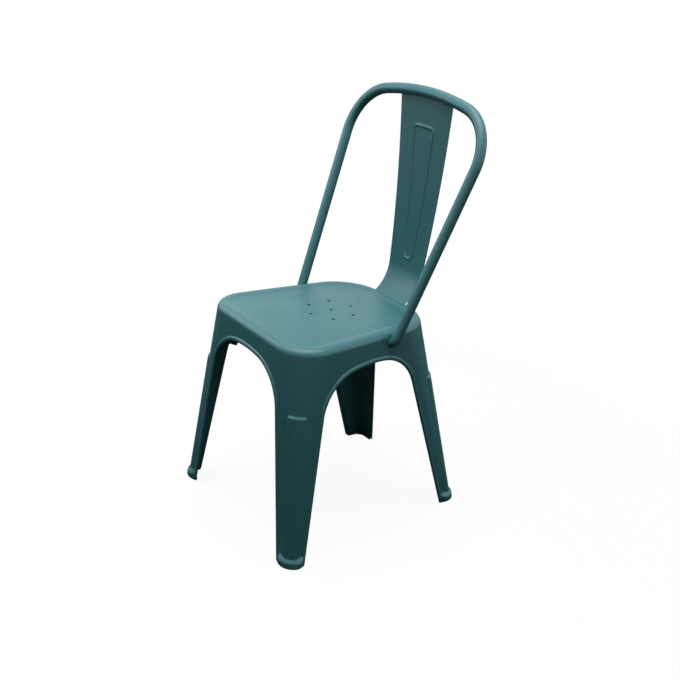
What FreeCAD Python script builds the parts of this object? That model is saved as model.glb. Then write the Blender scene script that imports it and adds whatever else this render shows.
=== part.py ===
import FreeCAD, Part
import math
import os
import Sketcher

os.makedirs("parts", exist_ok=True)
doc = FreeCAD.newDocument("BistroChair")

# Stackable pressed steel bistro chair, millimetres.
# X runs across the chair with the sitter's left at +X, the front faces -Y, Z is up.
# The finished pieces are set so that the origin lies on the floor, in the middle of the chair.
sizes = {
    # seat pan and the four walls that flow from it into the legs
    "seatHeight": 436.5,
    "seatHalfWidth": 156.5,
    "sideTaper": 0.0895,
    "sideSplay": 0.098,
    "seatFront": 179.5,
    "frontSplay": 0.059,
    "seatRear": 178,
    "rearSplay": 0.21,
    "frontCornerTop": 69.5,
    "frontCornerFoot": 25.5,
    "rearCornerTop": 104,
    "rearCornerFoot": 26,
    "sheetWall": 1.2,
    "shoulderRadius": 12,
    "dishDepth": 2.5,
    "dishInset": 19,
    "dishRamp": 7,
    "skirtDepth": 32,
    # drain holes: one in the middle of a ring of six
    "drainBore": 6.8,
    "drainRing": 49,
    "drainCentreY": 14,
    # arched openings between the legs
    "frontArchFoot": 170,
    "frontArchLean": 0.176,
    "frontArchCorner": 91,
    "frontArchCrown": 263,
    "frontArchDrop": 46.5,
    "rearArchFoot": 127,
    "rearArchLean": 0.165,
    "rearArchCorner": 62,
    "rearArchCrown": 240,
    "rearArchDrop": 48.5,
    "sideCrestY": 9.5,
    "sideArchDrop": 52,
    "sideFrontFoot": 177.5,
    "sideFrontLean": 0.1585,
    "sideFrontCorner": 92,
    "sideFrontCrown": 288,
    "sideRearFoot": 215.7,
    "sideRearLean": 0.3515,
    "sideRearCorner": 94.5,
    "sideRearCrown": 195,
    # rolled edge bead, raised stacking panel and toe of each leg
    "beadWidth": 9,
    "beadHeight": 2.6,
    "panelDrop": 125.5,
    "panelProud": 3,
    "panelTopWidth": 50,
    "panelFootWidth": 30,
    "toeReach": 8,
    "toeThickness": 24,
    "toeRound": 7,
    "toeInset": 2.5,
    "glideProud": 1.5,
    "glideDepth": 6,
    "glideWidth": 8,
    "glideSpan": 32,
    "fitGap": 0.3,
    # back hoop
    "tubeDiameter": 20,
    "tubeWall": 1.5,
    "backHeight": 847,
    "hoopBaseY": 53.4,
    "hoopBaseDrop": 9.8,
    "hoopBaseHalf": 162.6,
    "hoopLean": 20.13,
    "hoopSplay": 4.85,
    "hoopCorner": 91.7,
    "hoopCrown": 618,
    "elbowRadius": 14,
    "tubeInside": 16,
    # back splat
    "splatWall": 1.2,
    "splatLandingInset": 14,
    "splatLandingLean": 42,
    "splatBow": 2620,
    "splatBendRadius": 115,
    "splatTopHalf": 76.2,
    "splatFootInset": 5.6,
    "splatBeadHeight": 1.4,
    "splatBeadWidth": 4,
    "splatLoopTopHalf": 27.4,
    "splatLoopFootHalf": 14.5,
    "splatLoopDrop": 81,
    "splatLoopRise": 93.5,
    "splatLoopCorner": 9,
    "splatTaper": 0.067,
    "splatFlareRadius": 150,
    # crossed brace under the seat
    "braceWidth": 20,
    "braceWall": 3,
    "braceDrop": 61.5,
    "braceAngle": 36.5,
    "braceTab": 58,
}

sheet = doc.addObject("Spreadsheet::Sheet", "Sizes")
for row, (alias, number) in enumerate(sizes.items(), start=1):
    sheet.set(f"A{row}", alias)
    sheet.set(f"B{row}", str(number))
    sheet.setAlias(f"B{row}", alias)
doc.recompute()


def measure(expression):
    """Value in millimetres or degrees of an expression on the sheet."""
    result = sheet.evalExpression(expression)
    return float(getattr(result, "Value", result))


def turned(point, angle, reach):
    """Point at a distance and angle, in degrees, from another point."""
    across = point[0] + reach * math.cos(math.radians(angle))
    up = point[1] + reach * math.sin(math.radians(angle))
    return (across, up)


def flipped(point):
    return (-point[0], point[1])


def vector(point):
    return FreeCAD.Vector(point[0], point[1], 0)


def addLine(sketch, start, end):
    return sketch.addGeometry(Part.LineSegment(vector(start), vector(end)))


def addArc(sketch, centre, radius, fromAngle, toAngle):
    circle = Part.Circle(vector(centre), FreeCAD.Vector(0, 0, 1), radius)
    arc = Part.ArcOfCircle(circle, math.radians(fromAngle), math.radians(toAngle))
    return sketch.addGeometry(arc)


def relate(sketch, kind, *places):
    sketch.addConstraint(Sketcher.Constraint(kind, *places))


def drive(sketch, name, kind, places, expression):
    """A named dimension of a sketch, bound to the sheet."""
    number = measure(expression)
    if kind == "Angle":
        number = math.radians(number)
    index = sketch.addConstraint(Sketcher.Constraint(kind, *places, number))
    sketch.renameConstraint(index, name)
    sketch.setExpression(f"Constraints.{name}", expression)


def planeOf(body, role):
    return next(item for item in body.Origin.OriginFeatures if item.Role == role)


def bodySketch(body, name, role, offset="0"):
    sketch = body.newObject("Sketcher::SketchObject", name)
    sketch.AttachmentSupport = (planeOf(body, role), [""])
    sketch.MapMode = "FlatFace"
    sketch.setExpression("AttachmentOffset.Base.z", offset)
    return sketch


def freeSketch(name, rotation):
    sketch = doc.addObject("Sketcher::SketchObject", name)
    sketch.Placement = FreeCAD.Placement(FreeCAD.Vector(0, 0, 0), rotation)
    return sketch


# sketch planes that stand upright: one seen from the front, one seen from the side
facingFront = FreeCAD.Rotation(FreeCAD.Vector(1, 0, 0), 90)
facingSide = FreeCAD.Rotation(FreeCAD.Vector(1, 1, 1), 120)


# The wall outline at a height: straight front and rear, sides that draw in towards the rear
def wallOutline(body, name, height, grow):
    drop = f"(Sizes.seatHeight - ({height}))"
    slant = "sqrt(1 + Sizes.sideTaper ^ 2)"
    halfWidth = f"(Sizes.seatHalfWidth + Sizes.sideSplay * {drop}) / {slant} + ({grow})"
    front = f"Sizes.seatFront + Sizes.frontSplay * {drop} + ({grow})"
    rear = f"Sizes.seatRear + Sizes.rearSplay * {drop} + ({grow})"
    share = f"{drop} / Sizes.seatHeight"
    frontFoot = "(Sizes.frontCornerFoot - Sizes.frontCornerTop)"
    rearFoot = "(Sizes.rearCornerFoot - Sizes.rearCornerTop)"
    frontRadius = f"Sizes.frontCornerTop + {frontFoot} * {share} + ({grow})"
    rearRadius = f"Sizes.rearCornerTop + {rearFoot} * {share} + ({grow})"
    sketch = bodySketch(body, name, "XY_Plane", height)
    taper = measure("Sizes.sideTaper")
    side = measure(halfWidth) * measure(slant)
    lean = measure("atan(Sizes.sideTaper)")
    frontR = measure(frontRadius)
    rearR = measure(rearRadius)
    frontUp = frontR - measure(front)
    rearUp = measure(rear) - rearR
    frontCentre = (side - frontR * measure(slant) - taper * frontUp, frontUp)
    rearCentre = (side - rearR * measure(slant) - taper * rearUp, rearUp)
    frontLeft = flipped(frontCentre)
    rearLeft = flipped(rearCentre)
    addLine(sketch, turned(frontLeft, -90, frontR), turned(frontCentre, -90, frontR))
    addArc(sketch, frontCentre, frontR, -90, lean)
    addLine(sketch, turned(frontCentre, lean, frontR), turned(rearCentre, lean, rearR))
    addArc(sketch, rearCentre, rearR, lean, 90)
    addLine(sketch, turned(rearCentre, 90, rearR), turned(rearLeft, 90, rearR))
    addArc(sketch, rearLeft, rearR, 90, 180 - lean)
    addLine(sketch, turned(rearLeft, 180 - lean, rearR), turned(frontLeft, 180 - lean, frontR))
    addArc(sketch, frontLeft, frontR, 180 - lean, 270)
    for edge in range(8):
        relate(sketch, "Tangent", edge, 2, (edge + 1) % 8, 1)
    relate(sketch, "Symmetric", 0, 1, 0, 2, -2)
    relate(sketch, "Symmetric", 4, 1, 4, 2, -2)
    relate(sketch, "Equal", 1, 7)
    relate(sketch, "Equal", 3, 5)
    drive(sketch, "front", "DistanceY", (0, 1, -1, 1), front)
    drive(sketch, "rear", "DistanceY", (-1, 1, 4, 1), rear)
    drive(sketch, "frontRadius", "Radius", (1,), frontRadius)
    drive(sketch, "rearRadius", "Radius", (3,), rearRadius)
    drive(sketch, "halfWidth", "Distance", (-1, 1, 2), halfWidth)
    drive(sketch, "taper", "Angle", (2,), "90 deg + atan(Sizes.sideTaper)")
    return sketch


def wallForm(name, grow, top):
    """Solid bounded by the walls grown outwards by a distance."""
    body = doc.addObject("PartDesign::Body", name)
    foot = wallOutline(body, f"{name}Foot", "0", grow)
    seat = wallOutline(body, f"{name}Seat", top, grow)
    doc.recompute()
    loft = body.newObject("PartDesign::AdditiveLoft", f"{name}Loft")
    loft.Profile = seat
    loft.Sections = [foot]
    loft.Ruled = True
    body.Tip = loft
    doc.recompute()
    return body, loft


def topFace(shape):
    names = [(face.CenterOfMass.z, index) for index, face in enumerate(shape.Faces, start=1)]
    return f"Face{max(names)[1]}"


def bottomFace(shape):
    names = [(face.CenterOfMass.z, index) for index, face in enumerate(shape.Faces, start=1)]
    return f"Face{min(names)[1]}"


def softenedForm(name, grow, top, radius):
    """Wall form with the rounded shoulder and the shallow dish of the seat."""
    body, loft = wallForm(name, grow, top)
    shoulder = body.newObject("PartDesign::Fillet", f"{name}Shoulder")
    shoulder.Base = (loft, [topFace(loft.Shape)])
    shoulder.setExpression("Radius", radius)
    doc.recompute()
    rim = wallOutline(body, f"{name}Rim", top, "-Sizes.dishInset")
    inset = "-Sizes.dishInset - Sizes.dishRamp"
    floor = wallOutline(body, f"{name}Floor", f"{top} - Sizes.dishDepth", inset)
    doc.recompute()
    dish = body.newObject("PartDesign::SubtractiveLoft", f"{name}Dish")
    dish.Profile = rim
    dish.Sections = [floor]
    dish.Ruled = True
    body.Tip = dish
    doc.recompute()
    return body


outerForm = softenedForm("OuterForm", "0", "Sizes.seatHeight", "Sizes.shoulderRadius")
innerForm = softenedForm(
    "InnerForm",
    "-Sizes.sheetWall",
    "Sizes.seatHeight - Sizes.sheetWall",
    "Sizes.shoulderRadius - Sizes.sheetWall",
)
beadForm = wallForm("BeadForm", "Sizes.beadHeight", "Sizes.seatHeight")[0]
panelForm = wallForm("PanelForm", "Sizes.panelProud", "Sizes.seatHeight")[0]
glideForm = wallForm("GlideForm", "-Sizes.sheetWall - Sizes.fitGap", "Sizes.seatHeight")[0]


def combine(kind, name, base, tool):
    result = doc.addObject(f"Part::{kind}", name)
    result.Base = base
    result.Tool = tool
    return result


def join(name, shapes):
    result = doc.addObject("Part::MultiFuse", name)
    result.Shapes = shapes
    return result


def archSide(foot, lean, corner, crown, crest, grow):
    """Tangent point, corner centre and joint of one half of an arch, from its middle line."""
    away = measure(f"{foot} + ({grow}) * sqrt(1 + {lean} ^ 2)")
    angle = measure(f"atan({lean})")
    small = measure(f"{corner} + ({grow})")
    large = measure(f"{crown} + ({grow})")
    top = measure(f"{crest} + ({grow})")
    along = (-math.sin(math.radians(angle)), math.cos(math.radians(angle)))
    start = turned((away, 0), 180 + angle, small)
    gap = (start[0], start[1] - top + large)
    middle = gap[0] * along[0] + gap[1] * along[1]
    rest = gap[0] ** 2 + gap[1] ** 2 - (large - small) ** 2
    run = -middle + math.sqrt(middle ** 2 - rest)
    centre = (start[0] + run * along[0], start[1] + run * along[1])
    joint = math.degrees(math.atan2(centre[1] - top + large, centre[0]))
    return away, angle, small, large, top, centre, joint


# An arched opening: leaning leg edges, rounded corners and a flatter crown
def archOpening(name, rotation, middle, sides, crest, grow):
    sketch = freeSketch(name, rotation)
    axis = measure(middle)
    far, near = (archSide(*side, crest, grow) for side in sides)
    for mirror, half in ((1, far), (-1, near)):
        away, angle, small, large, top, centre, joint = half
        place = (axis + mirror * centre[0], centre[1])
        crownCentre = (axis, top - large)
        foot = (axis + mirror * away, 0)
        outward = angle if mirror == 1 else 180 - angle
        bend = joint if mirror == 1 else 180 - joint
        addLine(sketch, foot, turned(place, outward, small))
        if mirror == 1:
            addArc(sketch, place, small, outward, bend)
            addArc(sketch, crownCentre, large, bend, 90)
        else:
            addArc(sketch, place, small, bend, outward)
            addArc(sketch, crownCentre, large, 90, bend)
    addLine(sketch, (axis - near[0], 0), (axis + far[0], 0))
    relate(sketch, "Tangent", 0, 2, 1, 1)
    relate(sketch, "Tangent", 1, 2, 2, 1)
    relate(sketch, "Tangent", 2, 2, 5, 1)
    relate(sketch, "Tangent", 5, 2, 4, 1)
    relate(sketch, "Tangent", 4, 2, 3, 2)
    relate(sketch, "Coincident", 6, 1, 3, 1)
    relate(sketch, "Coincident", 6, 2, 0, 1)
    relate(sketch, "PointOnObject", 6, 1, -1)
    relate(sketch, "PointOnObject", 6, 2, -1)
    relate(sketch, "Vertical", 2, 3, 2, 2)
    if axis == 0:
        relate(sketch, "PointOnObject", 2, 2, -2)
    else:
        drive(sketch, "middle", "DistanceX", (-1, 1, 2, 2), middle)
    drive(sketch, "crest", "DistanceY", (-1, 1, 2, 2), f"{crest} + ({grow})")
    (farFoot, farLean, farCorner, farCrown), (nearFoot, nearLean, nearCorner, nearCrown) = sides
    slantFar = f"({grow}) * sqrt(1 + {farLean} ^ 2)"
    slantNear = f"({grow}) * sqrt(1 + {nearLean} ^ 2)"
    drive(sketch, "farFoot", "DistanceX", (2, 2, 6, 2), f"{farFoot} + {slantFar}")
    drive(sketch, "nearFoot", "DistanceX", (6, 1, 2, 2), f"{nearFoot} + {slantNear}")
    drive(sketch, "farLean", "Angle", (0,), f"90 deg + atan({farLean})")
    drive(sketch, "nearLean", "Angle", (3,), f"90 deg - atan({nearLean})")
    drive(sketch, "farCorner", "Radius", (1,), f"{farCorner} + ({grow})")
    drive(sketch, "nearCorner", "Radius", (4,), f"{nearCorner} + ({grow})")
    drive(sketch, "farCrown", "Radius", (2,), f"{farCrown} + ({grow})")
    drive(sketch, "nearCrown", "Radius", (5,), f"{nearCrown} + ({grow})")
    return sketch


def extrude(name, sketch, direction, forward, backward="0"):
    solid = doc.addObject("Part::Extrusion", name)
    solid.Base = sketch
    solid.DirMode = "Custom"
    solid.Dir = FreeCAD.Vector(*direction)
    solid.Solid = True
    solid.setExpression("LengthFwd", forward)
    solid.setExpression("LengthRev", backward)
    return solid


# Each opening is cut twice: once as it is, once wider by the bead, and the bead lies between
frontReach = "Sizes.seatFront + Sizes.frontSplay * Sizes.seatHeight + 2 * Sizes.toeReach"
rearReach = "Sizes.seatRear + Sizes.rearSplay * Sizes.seatHeight + 2 * Sizes.toeReach"
sideReach = "Sizes.seatHalfWidth + Sizes.sideSplay * Sizes.seatHeight + 4 * Sizes.toeReach"


def archHalf(place):
    return tuple(f"Sizes.{place}{part}" for part in ("Foot", "Lean", "Corner", "Crown"))


frontHalves = (archHalf("frontArch"), archHalf("frontArch"))
rearHalves = (archHalf("rearArch"), archHalf("rearArch"))
sideHalves = (archHalf("sideRear"), archHalf("sideFront"))
crests = {place: f"(Sizes.seatHeight - Sizes.{place}ArchDrop)" for place in ("front", "rear", "side")}
arches = {
    "Front": (facingFront, "0", frontHalves, crests["front"], (0, -1, 0), frontReach),
    "Rear": (facingFront, "0", rearHalves, crests["rear"], (0, 1, 0), rearReach),
    "Side": (facingSide, "Sizes.sideCrestY", sideHalves, crests["side"], (1, 0, 0), sideReach),
}
openings = {}
bands = {}
toeOpenings = {}
for place, (rotation, middle, sides, crest, direction, reach) in arches.items():
    narrow = archOpening(f"{place}Arch", rotation, middle, sides, crest, "0")
    wide = archOpening(f"{place}Rim", rotation, middle, sides, crest, "Sizes.beadWidth")
    doc.recompute()
    openings[place] = extrude(f"{place}Opening", narrow, direction, reach)
    rim = extrude(f"{place}RimSolid", wide, direction, reach)
    bands[place] = combine("Cut", f"{place}Band", rim, openings[place])
    toeGap = archOpening(f"{place}ToeGap", rotation, middle, sides, crest, "Sizes.toeInset")
    toeOpenings[place] = extrude(f"{place}ToeOpening", toeGap, direction, reach)


def block(name, low, high):
    """Box between two corners given as expressions."""
    box = doc.addObject("Part::Box", name)
    for axis, side in enumerate(("Length", "Width", "Height")):
        box.setExpression(f"Placement.Base.{'xyz'[axis]}", low[axis])
        box.setExpression(side, f"({high[axis]}) - ({low[axis]})")
    return box


# The pressed sheet is parted at the skirt seam, at the middle line and at the side crests
seam = "Sizes.seatHeight - Sizes.skirtDepth"
sheetShell = combine("Cut", "SheetShell", outerForm, innerForm)
beadShell = combine("Cut", "BeadShell", beadForm, outerForm)
panelShell = combine("Cut", "PanelShell", panelForm, outerForm)
beads = {}
for place, band in bands.items():
    beads[place] = combine("Common", f"{place}Bead", beadShell, band)

# Corner of the walls at a height: middle of its arc, and the arc's radius
legCorners = {
    "front": ("-1", "Sizes.seatFront", "Sizes.frontSplay", "Sizes.frontCornerTop", "Sizes.frontCornerFoot"),
    "rear": ("1", "Sizes.seatRear", "Sizes.rearSplay", "Sizes.rearCornerTop", "Sizes.rearCornerFoot"),
}


def cornerAt(end, height):
    sign, edge, splay, topRadius, footRadius = legCorners[end]
    drop = f"(Sizes.seatHeight - ({height}))"
    radius = f"({topRadius} + ({footRadius} - {topRadius}) * {drop} / Sizes.seatHeight)"
    up = f"({sign} * ({edge} + {splay} * {drop} - {radius}))"
    side = f"(Sizes.seatHalfWidth + Sizes.sideSplay * {drop})"
    across = f"({side} - {radius} * sqrt(1 + Sizes.sideTaper ^ 2) - Sizes.sideTaper * {up})"
    return across, up, radius


panelTop = "(Sizes.seatHeight - Sizes.panelDrop)"


def stackingPanel(end):
    """Raised panel on the corner of a leg, from its ledge down to the toe."""
    sign = legCorners[end][0]
    wedge = doc.addObject("Part::Wedge", f"{end}PanelCutter")
    turn = FreeCAD.Rotation(FreeCAD.Vector(0, 0, 1), 45 if end == "front" else 135)
    wedge.Placement.Rotation = turn.multiply(facingFront)
    for level, low, high, width in (
        ("0", "Xmin", "Xmax", "Sizes.panelFootWidth"),
        (panelTop, "X2min", "X2max", "Sizes.panelTopWidth"),
    ):
        across, up, _ = cornerAt(end, level)
        shift = f"(({up}) - ({sign}) * ({across})) / sqrt(2)"
        wedge.setExpression(low, f"{shift} - {width} / 2")
        wedge.setExpression(high, f"{shift} + {width} / 2")
    wedge.setExpression("Ymin", "0")
    wedge.setExpression("Ymax", panelTop)
    for low, high in (("Zmin", "Zmax"), ("Z2min", "Z2max")):
        wedge.setExpression(low, "0")
        wedge.setExpression(high, "Sizes.seatHeight")
    return combine("Common", f"{end}Panel", panelShell, wedge)


# Toes: a rounded roll along the foot of the walls that stops just short of the leg's edges
toeBody, toeLoft = wallForm("ToeForm", "Sizes.toeReach", "Sizes.toeThickness")
toeEdges = toeBody.newObject("PartDesign::Fillet", "ToeEdges")
toeEdges.Base = (toeLoft, [topFace(toeLoft.Shape), bottomFace(toeLoft.Shape)])
toeEdges.setExpression("Radius", "Sizes.toeRound")
toeBody.Tip = toeEdges
doc.recompute()
toes = combine("Cut", "ToeRoll", toeBody, innerForm)
for place, opening in toeOpenings.items():
    toes = combine("Cut", f"{place}ToeEnds", toes, opening)


legs = {}
glides = {}
for end in legCorners:
    if end == "front":
        low = ("0", "-4 * Sizes.seatFront", "Sizes.glideProud")
        high = ("4 * Sizes.seatHalfWidth", "Sizes.sideCrestY", seam)
    else:
        low = ("0", "Sizes.sideCrestY", "Sizes.glideProud")
        high = ("4 * Sizes.seatHalfWidth", "4 * Sizes.seatRear", seam)
    quarter = block(f"{end}Quarter", low, high)
    place = end.capitalize()
    raised = [beads[place], beads["Side"], stackingPanel(end), toes]
    pressing = join(f"{end}Pressing", [sheetShell] + raised)
    trimmed = combine("Common", f"{end}Trimmed", pressing, quarter)
    arched = combine("Cut", f"{end}Arched", trimmed, openings[place])
    legs[end] = combine("Cut", f"{end}_left_leg", arched, openings["Side"])


# Seat pan: the sheet above the skirt seam, pierced by the drain holes
panBlock = block(
    "PanBlock",
    ("-2 * Sizes.seatHalfWidth", "-2 * Sizes.seatFront", seam),
    ("2 * Sizes.seatHalfWidth", "2 * Sizes.seatRear", "2 * Sizes.seatHeight"),
)
panSheet = combine("Common", "PanSheet", sheetShell, panBlock)
drains = []
for number in range(7):
    drain = doc.addObject("Part::Cylinder", f"Drain{number}")
    drain.setExpression("Radius", "Sizes.drainBore / 2")
    drain.setExpression("Height", "Sizes.skirtDepth")
    drain.setExpression("Placement.Base.z", seam)
    ring = "0" if number == 6 else "Sizes.drainRing"
    drain.setExpression("Placement.Base.x", f"{ring} * sin({60 * number} deg)")
    drain.setExpression("Placement.Base.y", f"Sizes.drainCentreY + {ring} * cos({60 * number} deg)")
    drains.append(drain)
seatPan = combine("Cut", "seat_pan", panSheet, join("Drains", drains))


# Back hoop: one bent tube in a leaning plane, its ends turned in under the seat's shoulder
hoopBase = "(Sizes.seatHeight - Sizes.hoopBaseDrop)"
hoopRise = f"(Sizes.backHeight - Sizes.tubeDiameter / 2 - {hoopBase}) / cos(Sizes.hoopLean)"
elbowDrop = "Sizes.elbowRadius * (1 - sin(Sizes.hoopSplay))"
tubeStart = "Sizes.hoopBaseHalf - Sizes.elbowRadius * cos(Sizes.hoopSplay) - Sizes.tubeInside"


def hoopSpine(body, name):
    sketch = bodySketch(body, name, "XZ_Plane")
    splay = measure("Sizes.hoopSplay")
    elbow = measure("Sizes.elbowRadius")
    corner = measure("Sizes.hoopCorner")
    crown = measure("Sizes.hoopCrown")
    base = (measure("Sizes.hoopBaseHalf"), 0)
    top = measure(hoopRise)
    start = turned(base, 180 - splay, corner)
    along = (math.sin(math.radians(splay)), math.cos(math.radians(splay)))
    gap = (start[0], start[1] - top + crown)
    middle = gap[0] * along[0] + gap[1] * along[1]
    rest = gap[0] ** 2 + gap[1] ** 2 - (crown - corner) ** 2
    run = -middle + math.sqrt(middle ** 2 - rest)
    centre = (start[0] + run * along[0], start[1] + run * along[1])
    joint = math.degrees(math.atan2(centre[1] - top + crown, centre[0]))
    elbowCentre = turned(base, 180 - splay, elbow)
    low = turned(elbowCentre, -90, elbow)
    end = (measure(tubeStart), low[1])
    addLine(sketch, flipped(end), flipped(low))
    addArc(sketch, flipped(elbowCentre), elbow, 180 + splay, 270)
    addLine(sketch, flipped(base), flipped(turned(centre, -splay, corner)))
    addArc(sketch, flipped(centre), corner, 180 - joint, 180 + splay)
    addArc(sketch, (0, top - crown), crown, joint, 180 - joint)
    addArc(sketch, centre, corner, -splay, joint)
    addLine(sketch, turned(centre, -splay, corner), base)
    addArc(sketch, elbowCentre, elbow, -90, -splay)
    addLine(sketch, low, end)
    relate(sketch, "Tangent", 0, 2, 1, 2)
    relate(sketch, "Tangent", 1, 1, 2, 1)
    relate(sketch, "Tangent", 2, 2, 3, 2)
    relate(sketch, "Tangent", 3, 1, 4, 2)
    relate(sketch, "Tangent", 4, 1, 5, 2)
    relate(sketch, "Tangent", 5, 1, 6, 1)
    relate(sketch, "Tangent", 6, 2, 7, 2)
    relate(sketch, "Tangent", 7, 1, 8, 1)
    relate(sketch, "Symmetric", 4, 1, 4, 2, -2)
    relate(sketch, "Symmetric", 2, 1, 6, 2, -2)
    relate(sketch, "Equal", 3, 5)
    relate(sketch, "Equal", 1, 7)
    relate(sketch, "Equal", 0, 8)
    relate(sketch, "Horizontal", 0)
    relate(sketch, "Horizontal", 8)
    relate(sketch, "PointOnObject", 6, 2, -1)
    drive(sketch, "baseHalf", "DistanceX", (-1, 1, 6, 2), "Sizes.hoopBaseHalf")
    drive(sketch, "splay", "Angle", (6,), "270 deg - Sizes.hoopSplay * 1 deg")
    drive(sketch, "corner", "Radius", (5,), "Sizes.hoopCorner")
    drive(sketch, "elbow", "Radius", (7,), "Sizes.elbowRadius")
    drive(sketch, "crown", "Radius", (4,), "Sizes.hoopCrown")
    drive(sketch, "rise", "DistanceY", (4, 3, -1, 1), f"Sizes.hoopCrown - {hoopRise}")
    drive(sketch, "end", "DistanceX", (-1, 1, 8, 2), tubeStart)
    return sketch


def bentTube(name, outer, inner):
    """Tube swept along the hoop's spine, hollow where an inner diameter is given."""
    body = doc.addObject("PartDesign::Body", name)
    spine = hoopSpine(body, f"{name}Spine")
    ring = bodySketch(body, f"{name}Ring", "YZ_Plane", f"-({tubeStart})")
    drop = -measure(elbowDrop)
    diameters = [outer] if inner is None else [outer, inner]
    for index, diameter in enumerate(diameters):
        half = measure(f"({diameter}) / 2")
        ring.addGeometry(Part.Circle(vector((0, drop)), FreeCAD.Vector(0, 0, 1), half))
        relate(ring, "PointOnObject", index, 3, -2)
        drive(ring, f"diameter{index}", "Diameter", (index,), diameter)
        drive(ring, f"drop{index}", "DistanceY", (index, 3, -1, 1), elbowDrop)
    doc.recompute()
    pipe = body.newObject("PartDesign::AdditivePipe", f"{name}Pipe")
    pipe.Profile = ring
    pipe.Spine = (spine, [f"Edge{edge}" for edge in range(1, 10)])
    body.Tip = pipe
    body.Placement.Rotation = FreeCAD.Rotation(FreeCAD.Vector(-1, 0, 0), sizes["hoopLean"])
    body.setExpression("Placement.Rotation.Angle", "Sizes.hoopLean")
    body.setExpression("Placement.Base.y", "Sizes.hoopBaseY")
    body.setExpression("Placement.Base.z", hoopBase)
    return body


hoopTube = bentTube("HoopTube", "Sizes.tubeDiameter", "Sizes.tubeDiameter - 2 * Sizes.tubeWall")
backHoop = combine("Cut", "back_hoop", hoopTube, outerForm)


# Back splat: a tapered sheet that bends forward at its foot to land on the rear of the seat
hoopTopZ = "(Sizes.backHeight - Sizes.tubeDiameter / 2)"
hoopTopY = f"(Sizes.hoopBaseY + ({hoopTopZ} - {hoopBase}) * tan(Sizes.hoopLean))"
landingY = "(Sizes.seatRear - Sizes.splatLandingInset)"


def splatStrip(name, forward, wall):
    """Side view of the splat, moved forward by a distance, made as wide as its top."""
    sketch = freeSketch(f"{name}Side", facingSide)
    landing = (measure(f"{landingY} - ({forward})"), measure("Sizes.seatHeight"))
    bend = measure("Sizes.splatBendRadius")
    thick = measure(wall)
    bow = measure("Sizes.splatBow")
    slope = measure("Sizes.splatLandingLean")
    top = (measure(f"{hoopTopY} - ({forward})"), measure(hoopTopZ))
    centre = turned(landing, 180 - slope, bend)
    inner = bow - bend
    reach = math.dist(top, centre)
    share = (inner ** 2 + reach ** 2 - bow ** 2) / (2 * inner * reach)
    toTop = math.degrees(math.atan2(top[1] - centre[1], top[0] - centre[0]))
    away = toTop + math.degrees(math.acos(share))
    bowCentre = turned(centre, away, inner)
    lower = 180 - away
    end = math.degrees(math.atan2(top[1] - bowCentre[1], top[0] - bowCentre[0]))
    footAngle = math.degrees(math.asin((centre[1] - landing[1]) / (bend + thick)))
    capAngle = math.degrees(math.asin((top[1] - bowCentre[1]) / (bow + thick)))
    addArc(sketch, centre, bend, -slope, -lower)
    addArc(sketch, bowCentre, bow, -lower, end)
    addLine(sketch, top, turned(bowCentre, capAngle, bow + thick))
    addArc(sketch, bowCentre, bow + thick, -lower, capAngle)
    addArc(sketch, centre, bend + thick, -footAngle, -lower)
    addLine(sketch, turned(centre, -footAngle, bend + thick), landing)
    relate(sketch, "Tangent", 0, 2, 1, 1)
    relate(sketch, "Coincident", 1, 2, 2, 1)
    relate(sketch, "Coincident", 2, 2, 3, 2)
    relate(sketch, "Tangent", 3, 1, 4, 2)
    relate(sketch, "Coincident", 4, 1, 5, 1)
    relate(sketch, "Coincident", 5, 2, 0, 1)
    relate(sketch, "Coincident", 0, 3, 4, 3)
    relate(sketch, "Coincident", 1, 3, 3, 3)
    relate(sketch, "Horizontal", 5)
    relate(sketch, "Horizontal", 2)
    drive(sketch, "landingY", "DistanceX", (-1, 1, 0, 1), f"{landingY} - ({forward})")
    drive(sketch, "landingZ", "DistanceY", (-1, 1, 0, 1), "Sizes.seatHeight")
    radius = "Sizes.splatBendRadius"
    drive(sketch, "centreY", "DistanceX", (0, 3, 0, 1), f"{radius} * cos(Sizes.splatLandingLean)")
    drive(sketch, "centreZ", "DistanceY", (0, 1, 0, 3), f"{radius} * sin(Sizes.splatLandingLean)")
    drive(sketch, "bow", "Radius", (1,), "Sizes.splatBow")
    drive(sketch, "wall", "Radius", (4,), f"{radius} + {wall}")
    drive(sketch, "topY", "DistanceX", (-1, 1, 1, 2), f"{hoopTopY} - ({forward})")
    drive(sketch, "topZ", "DistanceY", (-1, 1, 1, 2), hoopTopZ)
    doc.recompute()
    half = "Sizes.splatTopHalf + Sizes.splatWall"
    return extrude(name, sketch, (1, 0, 0), half, half)


splatLength = "(Sizes.backHeight - Sizes.seatHeight)"
splatFoot = f"(Sizes.splatTopHalf - Sizes.splatTaper * {splatLength} - Sizes.splatFootInset)"


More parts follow.
